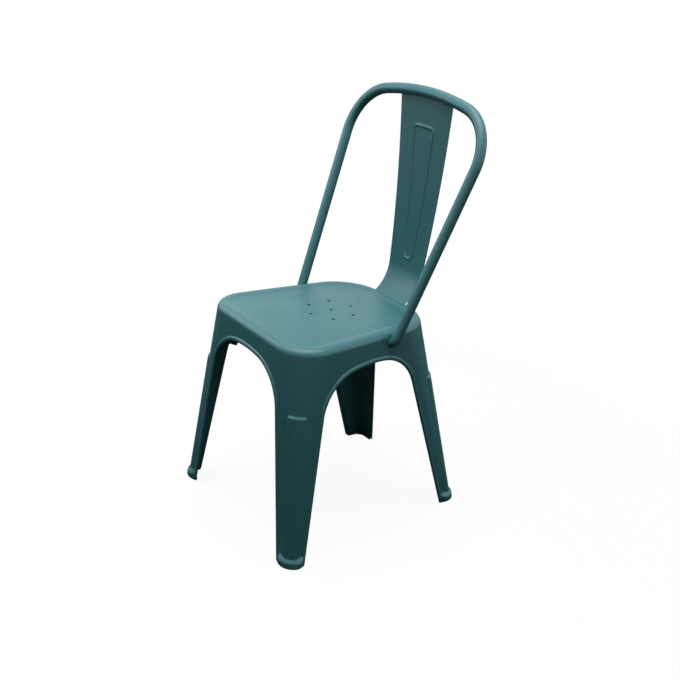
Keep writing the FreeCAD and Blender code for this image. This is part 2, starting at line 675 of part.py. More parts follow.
def splatFront():
    """Front view of the splat: straight tapering edges that curve in towards the landing."""
    sketch = freeSketch("SplatFront", facingFront)
    top = (measure("Sizes.splatTopHalf"), measure("Sizes.backHeight"))
    low = measure("Sizes.seatHeight")
    slope = measure("atan(Sizes.splatTaper)")
    foot = (measure(splatFoot), low)
    along = (-math.sin(math.radians(slope)), -math.cos(math.radians(slope)))
    across = (along[1], -along[0])
    gap = (foot[0] - top[0], foot[1] - top[1])
    run = gap[0] * along[0] + gap[1] * along[1]
    off = gap[0] * across[0] + gap[1] * across[1]
    radius = measure("Sizes.splatFlareRadius")
    back = math.sqrt(max(radius ** 2 - (radius - off) ** 2, 0))
    joint = (top[0] + (run - back) * along[0], top[1] + (run - back) * along[1])
    centre = (joint[0] + radius * across[0], joint[1] + radius * across[1])
    start = math.degrees(math.atan2(foot[1] - centre[1], foot[0] - centre[0]))
    end = math.degrees(math.atan2(joint[1] - centre[1], joint[0] - centre[0]))
    addLine(sketch, flipped(top), top)
    addLine(sketch, top, joint)
    addArc(sketch, centre, radius, start, end)
    addLine(sketch, foot, flipped(foot))
    addArc(sketch, flipped(centre), radius, 180 - end, 180 - start)
    addLine(sketch, flipped(joint), flipped(top))
    relate(sketch, "Coincident", 0, 2, 1, 1)
    relate(sketch, "Tangent", 1, 2, 2, 2)
    relate(sketch, "Coincident", 2, 1, 3, 1)
    relate(sketch, "Coincident", 3, 2, 4, 2)
    relate(sketch, "Tangent", 4, 1, 5, 1)
    relate(sketch, "Coincident", 5, 2, 0, 1)
    relate(sketch, "Symmetric", 0, 1, 0, 2, -2)
    relate(sketch, "Symmetric", 3, 1, 3, 2, -2)
    relate(sketch, "Equal", 2, 4)
    relate(sketch, "Equal", 1, 5)
    drive(sketch, "topHalf", "DistanceX", (-1, 1, 0, 2), "Sizes.splatTopHalf")
    drive(sketch, "topZ", "DistanceY", (-1, 1, 0, 2), "Sizes.backHeight")
    drive(sketch, "footHalf", "DistanceX", (-1, 1, 3, 1), splatFoot)
    drive(sketch, "footZ", "DistanceY", (-1, 1, 3, 1), "Sizes.seatHeight")
    drive(sketch, "flare", "Radius", (2,), "Sizes.splatFlareRadius")
    drive(sketch, "slope", "Angle", (1,), "270 deg - atan(Sizes.splatTaper)")
    return sketch


loopTop = "(Sizes.backHeight - Sizes.splatLoopDrop)"
loopFoot = "(Sizes.seatHeight + Sizes.splatLoopRise)"


def loopOutline(name, grow):
    """Tapered loop with rounded ends for the pressed ridge on the splat."""
    sketch = freeSketch(name, facingFront)
    high = measure(loopTop)
    low = measure(loopFoot)
    wide = measure(f"Sizes.splatLoopTopHalf + ({grow})")
    slim = measure(f"Sizes.splatLoopFootHalf + ({grow})")
    bend = measure(f"Sizes.splatLoopCorner + ({grow})")
    inner = measure("Sizes.splatLoopTopHalf - Sizes.splatLoopCorner")
    spread = math.hypot(inner, high - low)
    tilt = math.degrees(math.atan2(inner, high - low) + math.asin((bend - slim) / spread))
    left = (-inner, high)
    right = (inner, high)
    addArc(sketch, (0, low), slim, 180 + tilt, 360 - tilt)
    addLine(sketch, turned((0, low), -tilt, slim), turned(right, -tilt, bend))
    addArc(sketch, right, bend, -tilt, 90)
    addLine(sketch, turned(right, 90, bend), turned(left, 90, bend))
    addArc(sketch, left, bend, 90, 180 + tilt)
    addLine(sketch, turned(left, 180 + tilt, bend), turned((0, low), 180 + tilt, slim))
    for edge in range(6):
        relate(sketch, "Tangent", edge, 2, (edge + 1) % 6, 1)
    relate(sketch, "Equal", 2, 4)
    relate(sketch, "PointOnObject", 0, 3, -2)
    relate(sketch, "Symmetric", 2, 3, 4, 3, -2)
    drive(sketch, "foot", "DistanceY", (-1, 1, 0, 3), loopFoot)
    drive(sketch, "top", "DistanceY", (-1, 1, 2, 3), loopTop)
    drive(sketch, "half", "DistanceX", (-1, 1, 2, 3), "Sizes.splatLoopTopHalf - Sizes.splatLoopCorner")
    drive(sketch, "slim", "Radius", (0,), f"Sizes.splatLoopFootHalf + ({grow})")
    drive(sketch, "corner", "Radius", (2,), f"Sizes.splatLoopCorner + ({grow})")
    doc.recompute()
    return extrude(f"{name}Solid", sketch, (0, 1, 0), "2 * Sizes.seatRear")


splatSheet = splatStrip("SplatSheet", "0", "Sizes.splatWall")
ridgeWall = "Sizes.splatBeadHeight + Sizes.splatWall / 2"
ridgeSheet = splatStrip("RidgeSheet", "Sizes.splatBeadHeight", ridgeWall)
splatFace = extrude("SplatFace", splatFront(), (0, 1, 0), "2 * Sizes.seatRear")
ridgeLoop = combine(
    "Cut",
    "RidgeLoop",
    loopOutline("RidgeOutside", "Sizes.splatBeadWidth / 2"),
    loopOutline("RidgeInside", "-Sizes.splatBeadWidth / 2"),
)
flatSplat = combine("Common", "FlatSplat", splatSheet, splatFace)
splatRidge = combine("Common", "SplatRidge", ridgeSheet, ridgeLoop)
hoopClearance = bentTube("HoopClearance", "Sizes.tubeDiameter + 2 * Sizes.fitGap", None)
backSplat = combine("Cut", "back_splat", join("RidgedSplat", [flatSplat, splatRidge]), hoopClearance)


# Crossed brace under the seat: two flat bars whose ends turn down along the side walls
tabForm = wallForm("TabForm", "-Sizes.sheetWall - Sizes.fitGap - Sizes.braceWall", "Sizes.seatHeight")[0]
tabShell = combine("Cut", "TabShell", glideForm, tabForm)


def braceBar(name, turn, level):
    """Flat bar at a level, with a tab at each end that follows the wall downwards."""
    pieces = []
    for part, low in (("Flat", level), ("Tall", f"{level} - Sizes.braceTab")):
        slab = doc.addObject("Part::Box", f"{name}{part}")
        slab.setExpression("Length", "4 * Sizes.seatHalfWidth")
        slab.setExpression("Width", "Sizes.braceWidth")
        slab.setExpression("Height", f"{level} + Sizes.braceWall - ({low})")
        slab.Placement.Rotation = FreeCAD.Rotation(FreeCAD.Vector(0, 0, turn), sizes["braceAngle"])
        slab.setExpression("Placement.Rotation.Angle", "Sizes.braceAngle")
        angle = f"{turn} * Sizes.braceAngle"
        back = f"2 * Sizes.seatHalfWidth * cos({angle}) - Sizes.braceWidth / 2 * sin({angle})"
        down = f"2 * Sizes.seatHalfWidth * sin({angle}) + Sizes.braceWidth / 2 * cos({angle})"
        slab.setExpression("Placement.Base.x", f"-({back})")
        slab.setExpression("Placement.Base.y", f"Sizes.sideCrestY - ({down})")
        slab.setExpression("Placement.Base.z", low)
        room = glideForm if part == "Flat" else tabShell
        pieces.append(combine("Common", f"{name}{part}Cut", room, slab))
    return join(name, pieces)


braceLevel = "(Sizes.seatHeight - Sizes.braceDrop)"
upperBar = braceBar("brace_bar_upper", 1, braceLevel)
lowerBar = braceBar("brace_bar_lower", -1, f"{braceLevel} - Sizes.braceWall")

# Foot glides: a curb inside each corner, with a plate under the edge of the sheet
curbInside = "-Sizes.sheetWall - Sizes.fitGap - Sizes.glideWidth"
curbForm = wallForm("CurbForm", curbInside, "Sizes.seatHeight")[0]
for end, sign in (("front", -1), ("rear", 1)):
    across, up, radius = cornerAt(end, "0")
    inside = f"{across} + {radius} - Sizes.glideSpan"
    near = f"{up} + {sign} * ({radius} - Sizes.glideSpan)"
    far = f"{up} + {sign} * 2 * Sizes.glideSpan"
    first, last = (far, near) if sign == -1 else (near, far)
    outside = f"{across} + 2 * Sizes.glideSpan"
    curbBlock = block(f"{end}CurbBlock", (inside, first, "0"), (outside, last, "Sizes.glideDepth"))
    plateBlock = block(f"{end}PlateBlock", (inside, first, "0"), (outside, last, "Sizes.glideProud"))
    curb = combine("Common", f"{end}Curb", glideForm, curbBlock)
    plate = combine("Common", f"{end}Plate", outerForm, plateBlock)
    blank = join(f"{end}GlideBlank", [curb, plate])
    glides[end] = combine("Cut", f"{end}_left_glide", blank, curbForm)


def mirrored(name, source):
    result = doc.addObject("Part::Mirroring", name)
    result.Source = source
    result.Normal = FreeCAD.Vector(1, 0, 0)
    return result


nodes = [seatPan, backHoop, backSplat, upperBar, lowerBar]
for end in legCorners:
    nodes.append(legs[end])
    nodes.append(glides[end])

# Every piece is moved so that the chair's length, toe to toe, is centred on the origin
toeTips = {}
for end, (sign, edge, splay, *_) in legCorners.items():
    undercut = f"Sizes.toeRound * (sqrt(1 + {splay} ^ 2) - 1)"
    tip = f"{edge} + {splay} * (Sizes.seatHeight - Sizes.toeRound) + Sizes.toeReach - {undercut}"
    toeTips[end] = f"{sign} * ({tip})"
for node in nodes:
    node.setExpression("Placement.Base.y", f"-({toeTips['front']} + {toeTips['rear']}) / 2")
for end in legCorners:
    nodes.append(mirrored(f"{end}_right_leg", legs[end]))
    nodes.append(mirrored(f"{end}_right_glide", glides[end]))
doc.recompute()

for item in doc.Objects:
    if "Invalid" in item.State or "Error" in item.State:
        raise RuntimeError(f"{item.Name} failed: {item.State}")
for node in nodes:
    if node.Shape.isNull() or not node.Shape.isValid():
        raise RuntimeError(f"{node.Name} has no valid shape")
for node in nodes:
    node.Label = node.Name
    node.Shape.exportStep(f"parts/{node.Label}.step")
    box = node.Shape.optimalBoundingBox(False)
    extent = [round(value, 1) for value in (box.XMin, box.XMax, box.YMin, box.YMax, box.ZMin, box.ZMax)]
    print(node.Label, len(node.Shape.Solids), round(node.Shape.Volume), extent)
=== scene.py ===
import math

import bmesh
import bpy
import numpy as np
from mathutils import Matrix, Vector
from mathutils.geometry import delaunay_2d_cdt


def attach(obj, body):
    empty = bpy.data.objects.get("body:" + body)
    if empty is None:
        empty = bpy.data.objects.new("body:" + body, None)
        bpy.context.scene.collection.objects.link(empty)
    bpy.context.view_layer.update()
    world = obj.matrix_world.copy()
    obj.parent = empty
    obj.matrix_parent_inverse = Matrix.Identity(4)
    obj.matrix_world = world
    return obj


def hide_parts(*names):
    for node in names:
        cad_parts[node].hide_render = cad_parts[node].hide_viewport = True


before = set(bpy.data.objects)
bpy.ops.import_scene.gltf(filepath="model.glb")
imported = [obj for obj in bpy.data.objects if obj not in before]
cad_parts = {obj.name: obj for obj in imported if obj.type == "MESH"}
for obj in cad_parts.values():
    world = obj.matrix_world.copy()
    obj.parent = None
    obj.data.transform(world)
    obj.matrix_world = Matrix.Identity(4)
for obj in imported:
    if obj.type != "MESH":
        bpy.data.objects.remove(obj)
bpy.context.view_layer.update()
scene = bpy.context.scene
pi = math.pi
flipX = np.array([-1.0, 1.0, 1.0])

# The pressed body of the chair: its wall lines in millimetres, measured from the seat's datum.
# Each corner is given by its radius at the seat and at the floor.
body = {
    "seatHeight": 436.5,
    "halfWidth": 156.5,
    "sideTaper": 0.0895,
    "sideSplay": 0.098,
    "front": 179.5,
    "frontSplay": 0.059,
    "rear": 178.0,
    "rearSplay": 0.21,
    "frontCorner": (69.5, 25.5),
    "rearCorner": (104.0, 26.0),
    "wall": 1.2,
    "seam": 404.5,
    "crestY": 9.5,
}
slant = math.sqrt(1 + body["sideTaper"] ** 2)
lean = math.atan(body["sideTaper"])
# The rolled toe: a crescent round each foot, whose ends fade out along the foot's edge
toe = {
    "reach": 8.0,
    "round": 7.0,
    "bulge": 7.9,
    "start": 27.0,
    "knee": 14.0,
    "curl": 6.8,
    "flat": 0.45,
    "ends": (0.78, 0.97),
}


# Half width, front and rear of the walls' outline and its corner radii: all straight lines of the height
def wallSizes(z, grow=0.0):
    drop = body["seatHeight"] - z
    share = drop / body["seatHeight"]
    half = body["halfWidth"] + body["sideSplay"] * drop + grow * slant
    front = body["front"] + body["frontSplay"] * drop + grow
    rear = body["rear"] + body["rearSplay"] * drop + grow
    frontTop, frontFoot = body["frontCorner"]
    rearTop, rearFoot = body["rearCorner"]
    frontRadius = frontTop + (frontFoot - frontTop) * share + grow
    rearRadius = rearTop + (rearFoot - rearTop) * share + grow
    return half, front, rear, frontRadius, rearRadius


# Centre and radius of a corner's arc, which touches the end wall and the slanting side wall
def cornerCentre(end, z, grow=0.0):
    half, front, rear, frontRadius, rearRadius = wallSizes(z, grow)
    if end == "front":
        up, radius = frontRadius - front, frontRadius
    else:
        up, radius = rear - rearRadius, rearRadius
    return half - radius * slant - body["sideTaper"] * up, up, radius


# Point of the outer wall at an arc length q from the middle line, and its outward normal: straight to
# the corner, round it by the length divided by the radius, then straight along the side
def wallPoint(end, q, z, grow=0.0):
    q, z = np.broadcast_arrays(np.asarray(q, float), np.asarray(z, float))
    across, up, radius = cornerCentre(end, z, grow)
    turn = pi / 2 + lean if end == "front" else pi / 2 - lean
    before = np.minimum(q - across, 0)
    swing = np.clip((q - across) / radius, 0, turn)
    past = np.maximum(q - across - radius * turn, 0)
    angle = -pi / 2 + swing if end == "front" else pi / 2 - swing
    run = past if end == "front" else -past
    x = across + before + radius * np.cos(angle) - math.sin(lean) * run
    y = up + radius * np.sin(angle) + math.cos(lean) * run
    normal = np.stack([np.cos(angle), np.sin(angle), np.zeros_like(angle)], axis=-1)
    return np.stack([x, y, z], axis=-1), normal


# Arc length q of the side wall's point that lies at a given y
def sideReach(end, y, z):
    across, up, radius = cornerCentre(end, z)
    start = up + radius * math.sin(lean)
    if end == "front":
        return across + radius * (pi / 2 + lean) + (y - start) / math.cos(lean)
    return across + radius * (pi / 2 - lean) + (start - y) / math.cos(lean)


# How far a toe's tip lies from the datum: the wall's reach at the height of the toe's round, and its own
def tip(end):
    splay = body[end + "Splay"]
    undercut = toe["round"] * (math.sqrt(1 + splay ** 2) - 1)
    return body[end] + splay * (body["seatHeight"] - toe["round"]) + toe["reach"] - undercut


middle = (tip("rear") - tip("front")) / 2


# Millimetres about the seat's datum to metres in the frame, whose origin is midway between the toes
def placed(points):
    moved = np.array(points, float)
    moved[..., 1] -= middle
    return moved / 1000.0


# Quads over a grid of vertex numbers
def gridFaces(index):
    quads = np.stack([index[:-1, :-1], index[1:, :-1], index[1:, 1:], index[:-1, 1:]], axis=-1)
    return quads.reshape(-1, 4).tolist()


# A grid of vertex numbers whose last column is joined to its first
def wrapped(index):
    return np.concatenate([index, index[:, :1]], axis=1)


# Faces of a grid of rings: quads between the rings and one polygon at each end
def tubeFaces(grid):
    rings, sides = grid.shape[:2]
    index = np.arange(rings * sides).reshape(rings, sides)
    return gridFaces(wrapped(index)) + [index[0].tolist(), index[-1].tolist()]


# Points and faces of a sheet: its outer skin, its inner skin and a strip round the edge between them
def thickened(outer, inner):
    rows, columns = outer.shape[:2]
    count = rows * columns
    index = np.arange(count).reshape(rows, columns)
    rim = np.concatenate([index[0], index[1:, -1], index[-1, ::-1][1:], index[::-1, 0][1:]])
    faces = gridFaces(index) + gridFaces(index + count) + gridFaces(np.stack([rim, rim + count]))
    return np.concatenate([outer.reshape(-1, 3), inner.reshape(-1, 3)]), faces


# Object from points in millimetres, smooth except where it turns sharply. Its skins are joined by their
# rims, so each shell is one closed surface and its faces are turned outwards together.
def makeMesh(name, points, faces, sharp=40):
    mesh = bpy.data.meshes.new(name)
    mesh.from_pydata(placed(points).reshape(-1, 3).tolist(), [], faces)
    shell = bmesh.new()
    shell.from_mesh(mesh)
    bmesh.ops.recalc_face_normals(shell, faces=shell.faces)
    shell.to_mesh(mesh)
    shell.free()
    mesh.shade_smooth()
    mesh.set_sharp_from_angle(angle=math.radians(sharp))
    piece = bpy.data.objects.new(name, mesh)
    scene.collection.objects.link(piece)
    return piece


# Eases from 0 to 1: three times the square less twice the cube
def smoothStep(value):
    value = np.clip(value, 0, 1)
    return value * value * (3 - 2 * value)


painted = []
moulded = []
print("helpers ready")

# The arched openings: foot from the axis, slope of the leg's edge, corner radius, crown radius and crest
arches = {
    "front": (170.0, 0.176, 91.0, 263.0, 390.0),
    "rear": (127.0, 0.165, 62.0, 240.0, 388.0),
    "frontSide": (177.5, 0.1585, 92.0, 288.0, 384.5),
    "rearSide": (215.7, 0.3515, 94.5, 195.0, 384.5),
}
# Legs: each is one sheet from bead to bead, with level rows below the arches' corners.
# A stretch of levels is its bottom, its top and its count; arcs have a count for corner and crown.
leg = {
    "levels": ((1.5, 5.5, 8), (5.5, 13.0, 6), (13.0, 28.0, 18), (28.0, 304.0, 90), (304.0, 316.0, 16)),
    "levelTop": 318.0,
    "arcCounts": (44, 34),
    "beadSteps": (0.0, 0.25, 0.8, 1.7, 2.3, 3.0, 3.8, 4.9, 6.1, 7.3, 8.2, 8.8, 9.2, 9.8, 10.6, 12.0),
    "beadWidth": 9.0,
    "beadHeight": 2.6,
    "grooveDepth": 0.5,
    "grooveGap": 0.8,
    "grooveWidth": 0.9,
    "columns": 76,
    "footRound": 1.6,
    "panelTop": 311.0,
    "panelProud": 3.2,
    "panelHalf": (14.0, 17.0),
    "ledgeFade": 5.5,
    "sideFade": (3.0, 16.0),
    "sideRun": 60.0,
    "relaxing": 160,
    "farInside": 99.0,
}


# Heights of the level rows, evenly spaced within each stretch
def legLevels():
    parts = [np.linspace(low, high, count, endpoint=False) for low, high, count in leg["levels"]]
    return np.concatenate(parts + [[leg["levels"][-1][1], leg["levelTop"]]])


# Half an arch grown by a distance, as (away, height): a straight edge that is rounded off at the floor,
# an arc that touches it, and a flatter arc that touches that one and is level at the crest
def archCurve(name, grow):
    foot, slope, corner, crown, crest = arches[name]
    levels = legLevels()
    tilt = math.atan(slope)
    away = foot + grow * math.sqrt(1 + slope ** 2)
    small, large, top = corner + grow, crown + grow, crest + grow
    along = np.array([-math.sin(tilt), math.cos(tilt)])
    start = np.array([away - small * math.cos(tilt), -small * math.sin(tilt)])
    gap = start - np.array([0.0, top - large])
    mid = gap @ along
    centre = start + (math.sqrt(mid ** 2 - gap @ gap + (large - small) ** 2) - mid) * along
    joint = math.atan2(centre[1] - top + large, centre[0])
    above = np.clip((levels - centre[1]) / small, -1, 1)
    onArc = centre[0] + small * np.sqrt(1 - above ** 2)
    edge = np.where(levels < centre[1] + small * math.sin(tilt), away - slope * levels, onArc)
    lift = np.clip(leg["footRound"] - (levels - levels[0]), 0, None)
    edge = edge + leg["footRound"] - np.sqrt(leg["footRound"] ** 2 - lift ** 2)
    cornerCount, crownCount = leg["arcCounts"]
    bend = np.linspace(math.asin(above[-1]), joint, cornerCount + 1)[1:]
    sweep = np.linspace(joint, pi / 2, crownCount + 1)[1:]
    cornerArc = centre + small * np.stack([np.cos(bend), np.sin(bend)], axis=-1)
    crownArc = np.array([0.0, top - large]) + large * np.stack([np.cos(sweep), np.sin(sweep)], axis=-1)
    return np.concatenate([np.stack([edge, levels], axis=-1), cornerArc, crownArc])


# Height of the rolled edge: half an ellipse, then a shallow groove beside it
def beadRise(distance):
    width, half = leg["beadWidth"], leg["beadWidth"] / 2
    roll = np.sqrt(np.clip(1 - ((distance - half) / half) ** 2, 0, 1)) * leg["beadHeight"]
    past = (distance - width - leg["grooveGap"]) / leg["grooveWidth"]
    return np.where(distance < width, roll, 0.0) - leg["grooveDepth"] * np.exp(-(past ** 2))


# Height of the toe: it slopes out from its start to its knee, curls in by a quarter round at the floor,
# and falls off to both sides as one less the square of the distance along the foot
def toeRise(along, z):
    slope = smoothStep((toe["start"] - z) / (toe["start"] - toe["knee"]))
    low = np.clip(toe["curl"] - z, 0, toe["curl"])
    curled = toe["curl"] - np.sqrt(toe["curl"] ** 2 - low ** 2)
    side = np.clip((np.abs(along) - toe["flat"]) / (1 - toe["flat"]), 0, 1)
    fadeStart, fadeEnd = toe["ends"]
    crescent = (1 - side ** 2) * smoothStep((fadeEnd - np.abs(along)) / (fadeEnd - fadeStart))
    return np.maximum((toe["bulge"] * slope - curled) * crescent, 0)


# Grid of (q, z) over one leg and each point's distance from the arched edge: bead steps at both sides,
# even columns between them, and above the corners a patch blended from its four sides and then relaxed
def legSheet(end):
    steps = np.array(leg["beadSteps"])
    first = np.stack([archCurve(end, step) for step in steps], axis=1)
    last = []
    for step in steps:
        away, high = archCurve(end + "Side", step).T
        y = body["crestY"] - away if end == "front" else body["crestY"] + away
        last.append(np.stack([sideReach(end, y, high), high], axis=-1))
    last = np.stack(last, axis=1)
    left, right = first[:, -1], last[:, -1]
    spread = np.linspace(0, 1, leg["columns"])
    u = spread[None, :, None]
    patch = (1 - u) * left[:, None] + u * right[:, None]
    seam = body["seam"]
    corners = np.array([left[-1], [0.0, seam], [sideReach(end, body["crestY"], seam), seam], right[-1]])
    lengths = np.concatenate([[0], np.cumsum(np.linalg.norm(np.diff(corners, axis=0), axis=1))])
    stops = spread * lengths[-1]
    for stop in lengths[1:-1]:
        stops[np.argmin(np.abs(stops - stop))] = stop
    top = np.stack([np.interp(stops, lengths, corners[:, axis]) for axis in (0, 1)], axis=-1)
    start = len(legLevels()) - 1
    v = np.linspace(0, 1, len(patch) - start)[:, None, None]
    upper = patch[start:]
    ends = (1 - v) * upper[0] + v * top[None]
    mixed = (1 - v) * ((1 - u) * left[start] + u * right[start]) + v * ((1 - u) * left[-1] + u * right[-1])
    upper = upper + ends - mixed
    for _ in range(leg["relaxing"]):
        around = upper[:-2, 1:-1] + upper[2:, 1:-1] + upper[1:-1, :-2] + upper[1:-1, 2:]
        upper[1:-1, 1:-1] = around / 4
    patch[start:] = upper
    grid = np.concatenate([first[:, :-1], patch, last[:, ::-1][:, 1:]], axis=1)
    distance = np.full(grid.shape[:2], leg["farInside"])
    distance[:, : len(steps)] = steps
    distance[:, -len(steps):] = steps[::-1]
    return grid, distance


# Height of the corner's raised panel: full near the corner's middle line, fading to both sides over a
# width that grows downwards, and ending in a ledge at its top
def panelRise(end, points):
    across, up, _ = cornerCentre(end, points[..., 2])
    sign = -1.0 if end == "front" else 1.0
    away, along = points[..., 0] - across, sign * (points[..., 1] - up)
    footHalf, topHalf = leg["panelHalf"]
    half = footHalf + (topHalf - footHalf) * points[..., 2] / leg["panelTop"]
    below = leg["panelTop"] - points[..., 2]
    fadeTop, fadeFoot = leg["sideFade"]
    fade = fadeTop + (fadeFoot - fadeTop) * smoothStep(below / leg["sideRun"])
    edge = smoothStep((half - np.abs(away - along) / math.sqrt(2)) / fade + 0.5)
    ledge = smoothStep(below / leg["ledgeFade"] + 0.5)
    return leg["panelProud"] * edge * ledge * (away + along > 0)


# The outer skin is the wall moved out by the highest of bead, panel and toe. The inner skin follows bead
# and panel only, so that the toe is solid.
def makeLeg(name, end, mirror):
    grid, distance = sheets[end]
    points, normals = wallPoint(end, grid[..., 0], grid[..., 1])
    rise = np.maximum(beadRise(distance), panelRise(end, points))
    foot = grid[0, :, 0]
    along = 2 * (grid[..., 0] - foot[0]) / (foot[-1] - foot[0]) - 1
    outer = points + normals * np.maximum(rise, toeRise(along, grid[..., 1]))[..., None]
    inner = points + normals * (rise - body["wall"])[..., None]
    if mirror:
        outer, inner = outer * flipX, inner * flipX
    piece = makeMesh(f"{name}_sheet", *thickened(outer, inner))
    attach(piece, "root")
    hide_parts(name)
    return piece


sheets = {end: legSheet(end) for end in ("front", "rear")}
for end in ("front", "rear"):
    for side in ("left", "right"):
        painted.append(makeLeg(f"{end}_{side}_leg", end, side == "right"))
print("legs ready")

# Glides: black curbs inside the feet, with a thin plate under the edge of the sheet.
# The ends shrink towards the section's heart.
glide = {
    "proud": 1.5,
    "height": 6.0,
    "inside": 6.5,
    "clear": 1.5,
    "skin": 0.1,
    "bevel": 0.6,
    "margin": 1.0,
    "steps": 90,
    "endRound": 5.0,
    "endScale": 0.3,
    "heart": (-3.5, 2.5),
}


# The glide's section in (offset from the outer wall, height), clear of the sheet's inner face
def glideSection():
    bevel, inside, clear = glide["bevel"], glide["inside"], glide["clear"]
    top, proud, skin = glide["height"], glide["proud"], glide["skin"]
    under = [(-inside + bevel, 0.0), (-skin - bevel, 0.0), (-skin, bevel), (-skin, proud - skin)]
    wallSide = [(-clear, proud), (-clear, top - bevel), (-clear - bevel, top)]
    roomSide = [(-inside + bevel, top), (-inside, top - bevel), (-inside, bevel)]
    return np.array(under + wallSide + roomSide)


# The section swept along the foot, scaled at each end by a quarter round
def makeGlide(name, end, mirror):
    foot = sheets[end][0][0, :, 0]
    q = np.linspace(foot[0] + glide["margin"], foot[-1] - glide["margin"], glide["steps"])
    fromEnd = np.minimum(q - q[0], q[-1] - q) / glide["endRound"]
    full = np.sqrt(1 - (1 - np.clip(fromEnd, 0, 1)) ** 2)
    scale = (glide["endScale"] + (1 - glide["endScale"]) * full)[:, None]
    heart = glide["heart"]
    section = glideSection()
    offsets = heart[0] + (section[:, 0] - heart[0]) * scale
    heights = heart[1] + (section[:, 1] - heart[1]) * scale
    points, normals = wallPoint(end, q[:, None], heights)
    grid = points + normals * offsets[..., None]
    if mirror:
        grid = grid * flipX
    piece = makeMesh(f"{name}_curb", grid, tubeFaces(grid), sharp=50)
    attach(piece, "root")
    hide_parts(name)
    return piece


for end in ("front", "rear"):
    for side in ("left", "right"):
        moulded.append(makeGlide(f"{end}_{side}_glide", end, side == "right"))
print("glides ready")

# Brace: two strips that cross under the seat, bent down along the side walls.
# The tabs end a little inside the arched edge, by a different distance in front and behind.
brace = {
    "width": 20.0,
    "wall": 3.0,
    "upperLevel": 375.0,
    "angle": math.radians(36.5),
    "tab": 58.0,
    "bend": 5.0,
    "clear": 1.5,
    "edge": {"front": 1.5, "rear": 15.0},
    "columns": 13,
    "flatRows": 8,
    "bendRows": 9,
    "tabRows": 22,
    "wallSamples": 400,
    "lip": 13.0,
    "lipRows": 18,
    "lipSteps": 6,
    "lipTurn": math.radians(27.0),
}


# How far along the strip's direction the wall lies, for an offset across the strip: the wall's points
# are turned by the strip's angle about the crest, and read off between them
def wallReach(end, turn, w, z, grow):
    start = cornerCentre(end, z, grow)[0]
    q = np.linspace(start, sideReach(end, body["crestY"], z), brace["wallSamples"])
    points = wallPoint(end, q, z, grow)[0]
    x, y = points[:, 0], points[:, 1] - body["crestY"]
    angle = turn * brace["angle"]
    sideways = -x * math.sin(angle) + y * math.cos(angle)
    ahead = x * math.cos(angle) + y * math.sin(angle)
    order = np.argsort(sideways)
    return np.interp(w, sideways[order], ahead[order])


# Offset across the strip at which the side wall's arched edge cuts it at a height
def archLimit(end, turn, z):
    curve = archCurve(end + "Side", brace["edge"][end])
    away = float(np.interp(z, curve[:, 1], curve[:, 0]))
    reach = wallReach(end, turn, 0.0, z, -brace["clear"])
    return turn * (away - reach * math.sin(brace["angle"])) / math.cos(brace["angle"])


# Upper and lower skin of half a strip, as rows of (ahead, sideways, height) turned into place: flat,
# then a quarter bend, then down the wall, cut off at the arched edge
def braceEnd(end, turn, level):
    half, clear = brace["width"] / 2, brace["clear"]
    inner, outer = brace["bend"], brace["bend"] + brace["wall"]
    spring = level - inner
    w = np.linspace(-half, half, brace["columns"])
    flatEnd = wallReach(end, turn, w, spring, -clear) - outer
    tops, unders = [], []
    for share in np.linspace(0, 1, brace["flatRows"], endpoint=False):
        tops.append((share * flatEnd, w, np.full_like(w, level + brace["wall"])))
        unders.append((share * flatEnd, w, np.full_like(w, level)))
    for angle in np.linspace(0, pi / 2, brace["bendRows"], endpoint=False):
        for rows, radius in ((tops, outer), (unders, inner)):
            height = np.full_like(w, spring + radius * math.cos(angle))
            rows.append((flatEnd + radius * math.sin(angle), w, height))
    for z in np.linspace(spring, level - brace["tab"], brace["tabRows"]):
        limit = archLimit(end, turn, z)
        low, high = (max(-half, limit), half) if turn > 0 else (-half, min(half, limit))
        spread = np.linspace(low, high, brace["columns"])
        for rows, grow in ((tops, -clear), (unders, -clear - brace["wall"])):
            rows.append((wallReach(end, turn, spread, z, grow), spread, np.full_like(w, z)))
    angle = turn * brace["angle"]
    skins = []
    for rows in (tops, unders):
        ahead, sideways, height = (np.stack([row[i] for row in rows]) for i in range(3))
        x = ahead * math.cos(angle) - sideways * math.sin(angle)
        y = ahead * math.sin(angle) + sideways * math.cos(angle) + body["crestY"]
        skins.append(np.stack([x, y, height], axis=-1))
    return skins


# Stiffening lip folded inwards from the arched edge of a front tab: straight lines from its inner skin
def foldedLip(inner):
    root = inner[-brace["lipRows"]:, -1]
    turn = brace["lipTurn"]
    fold = np.array([-math.cos(turn), math.sin(turn), 0.0])
    thick = np.array([math.sin(turn), math.cos(turn), 0.0]) * brace["wall"]
    outer = root[:, None] + fold * np.linspace(0, brace["lip"], brace["lipSteps"])[None, :, None]
    return outer, outer - thick


# A strip is its front half, mirrored and taken from its end inwards, then its rear half. The lip is a
# second shell on its front tab.
def makeBrace(name, level, mirror):
    front = braceEnd("front", -1, level)
    rear = braceEnd("rear", 1, level)
    lip = foldedLip(front[1])
    strip = [np.concatenate([(ahead * flipX)[::-1][:-1], behind]) for ahead, behind in zip(front, rear)]
    stripPoints, faces = thickened(*strip)
    lipPoints, lipFaces = thickened(*(side * flipX for side in lip))
    points = np.concatenate([stripPoints, lipPoints])
    faces += (np.array(lipFaces) + len(stripPoints)).tolist()
    piece = makeMesh(f"{name}_strip", points * flipX if mirror else points, faces, sharp=35)
    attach(piece, "root")
    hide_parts(name)
    return piece


painted.append(makeBrace("brace_bar_upper", brace["upperLevel"], False))
painted.append(makeBrace("brace_bar_lower", brace["upperLevel"] - brace["wall"], True))
print("brace ready")

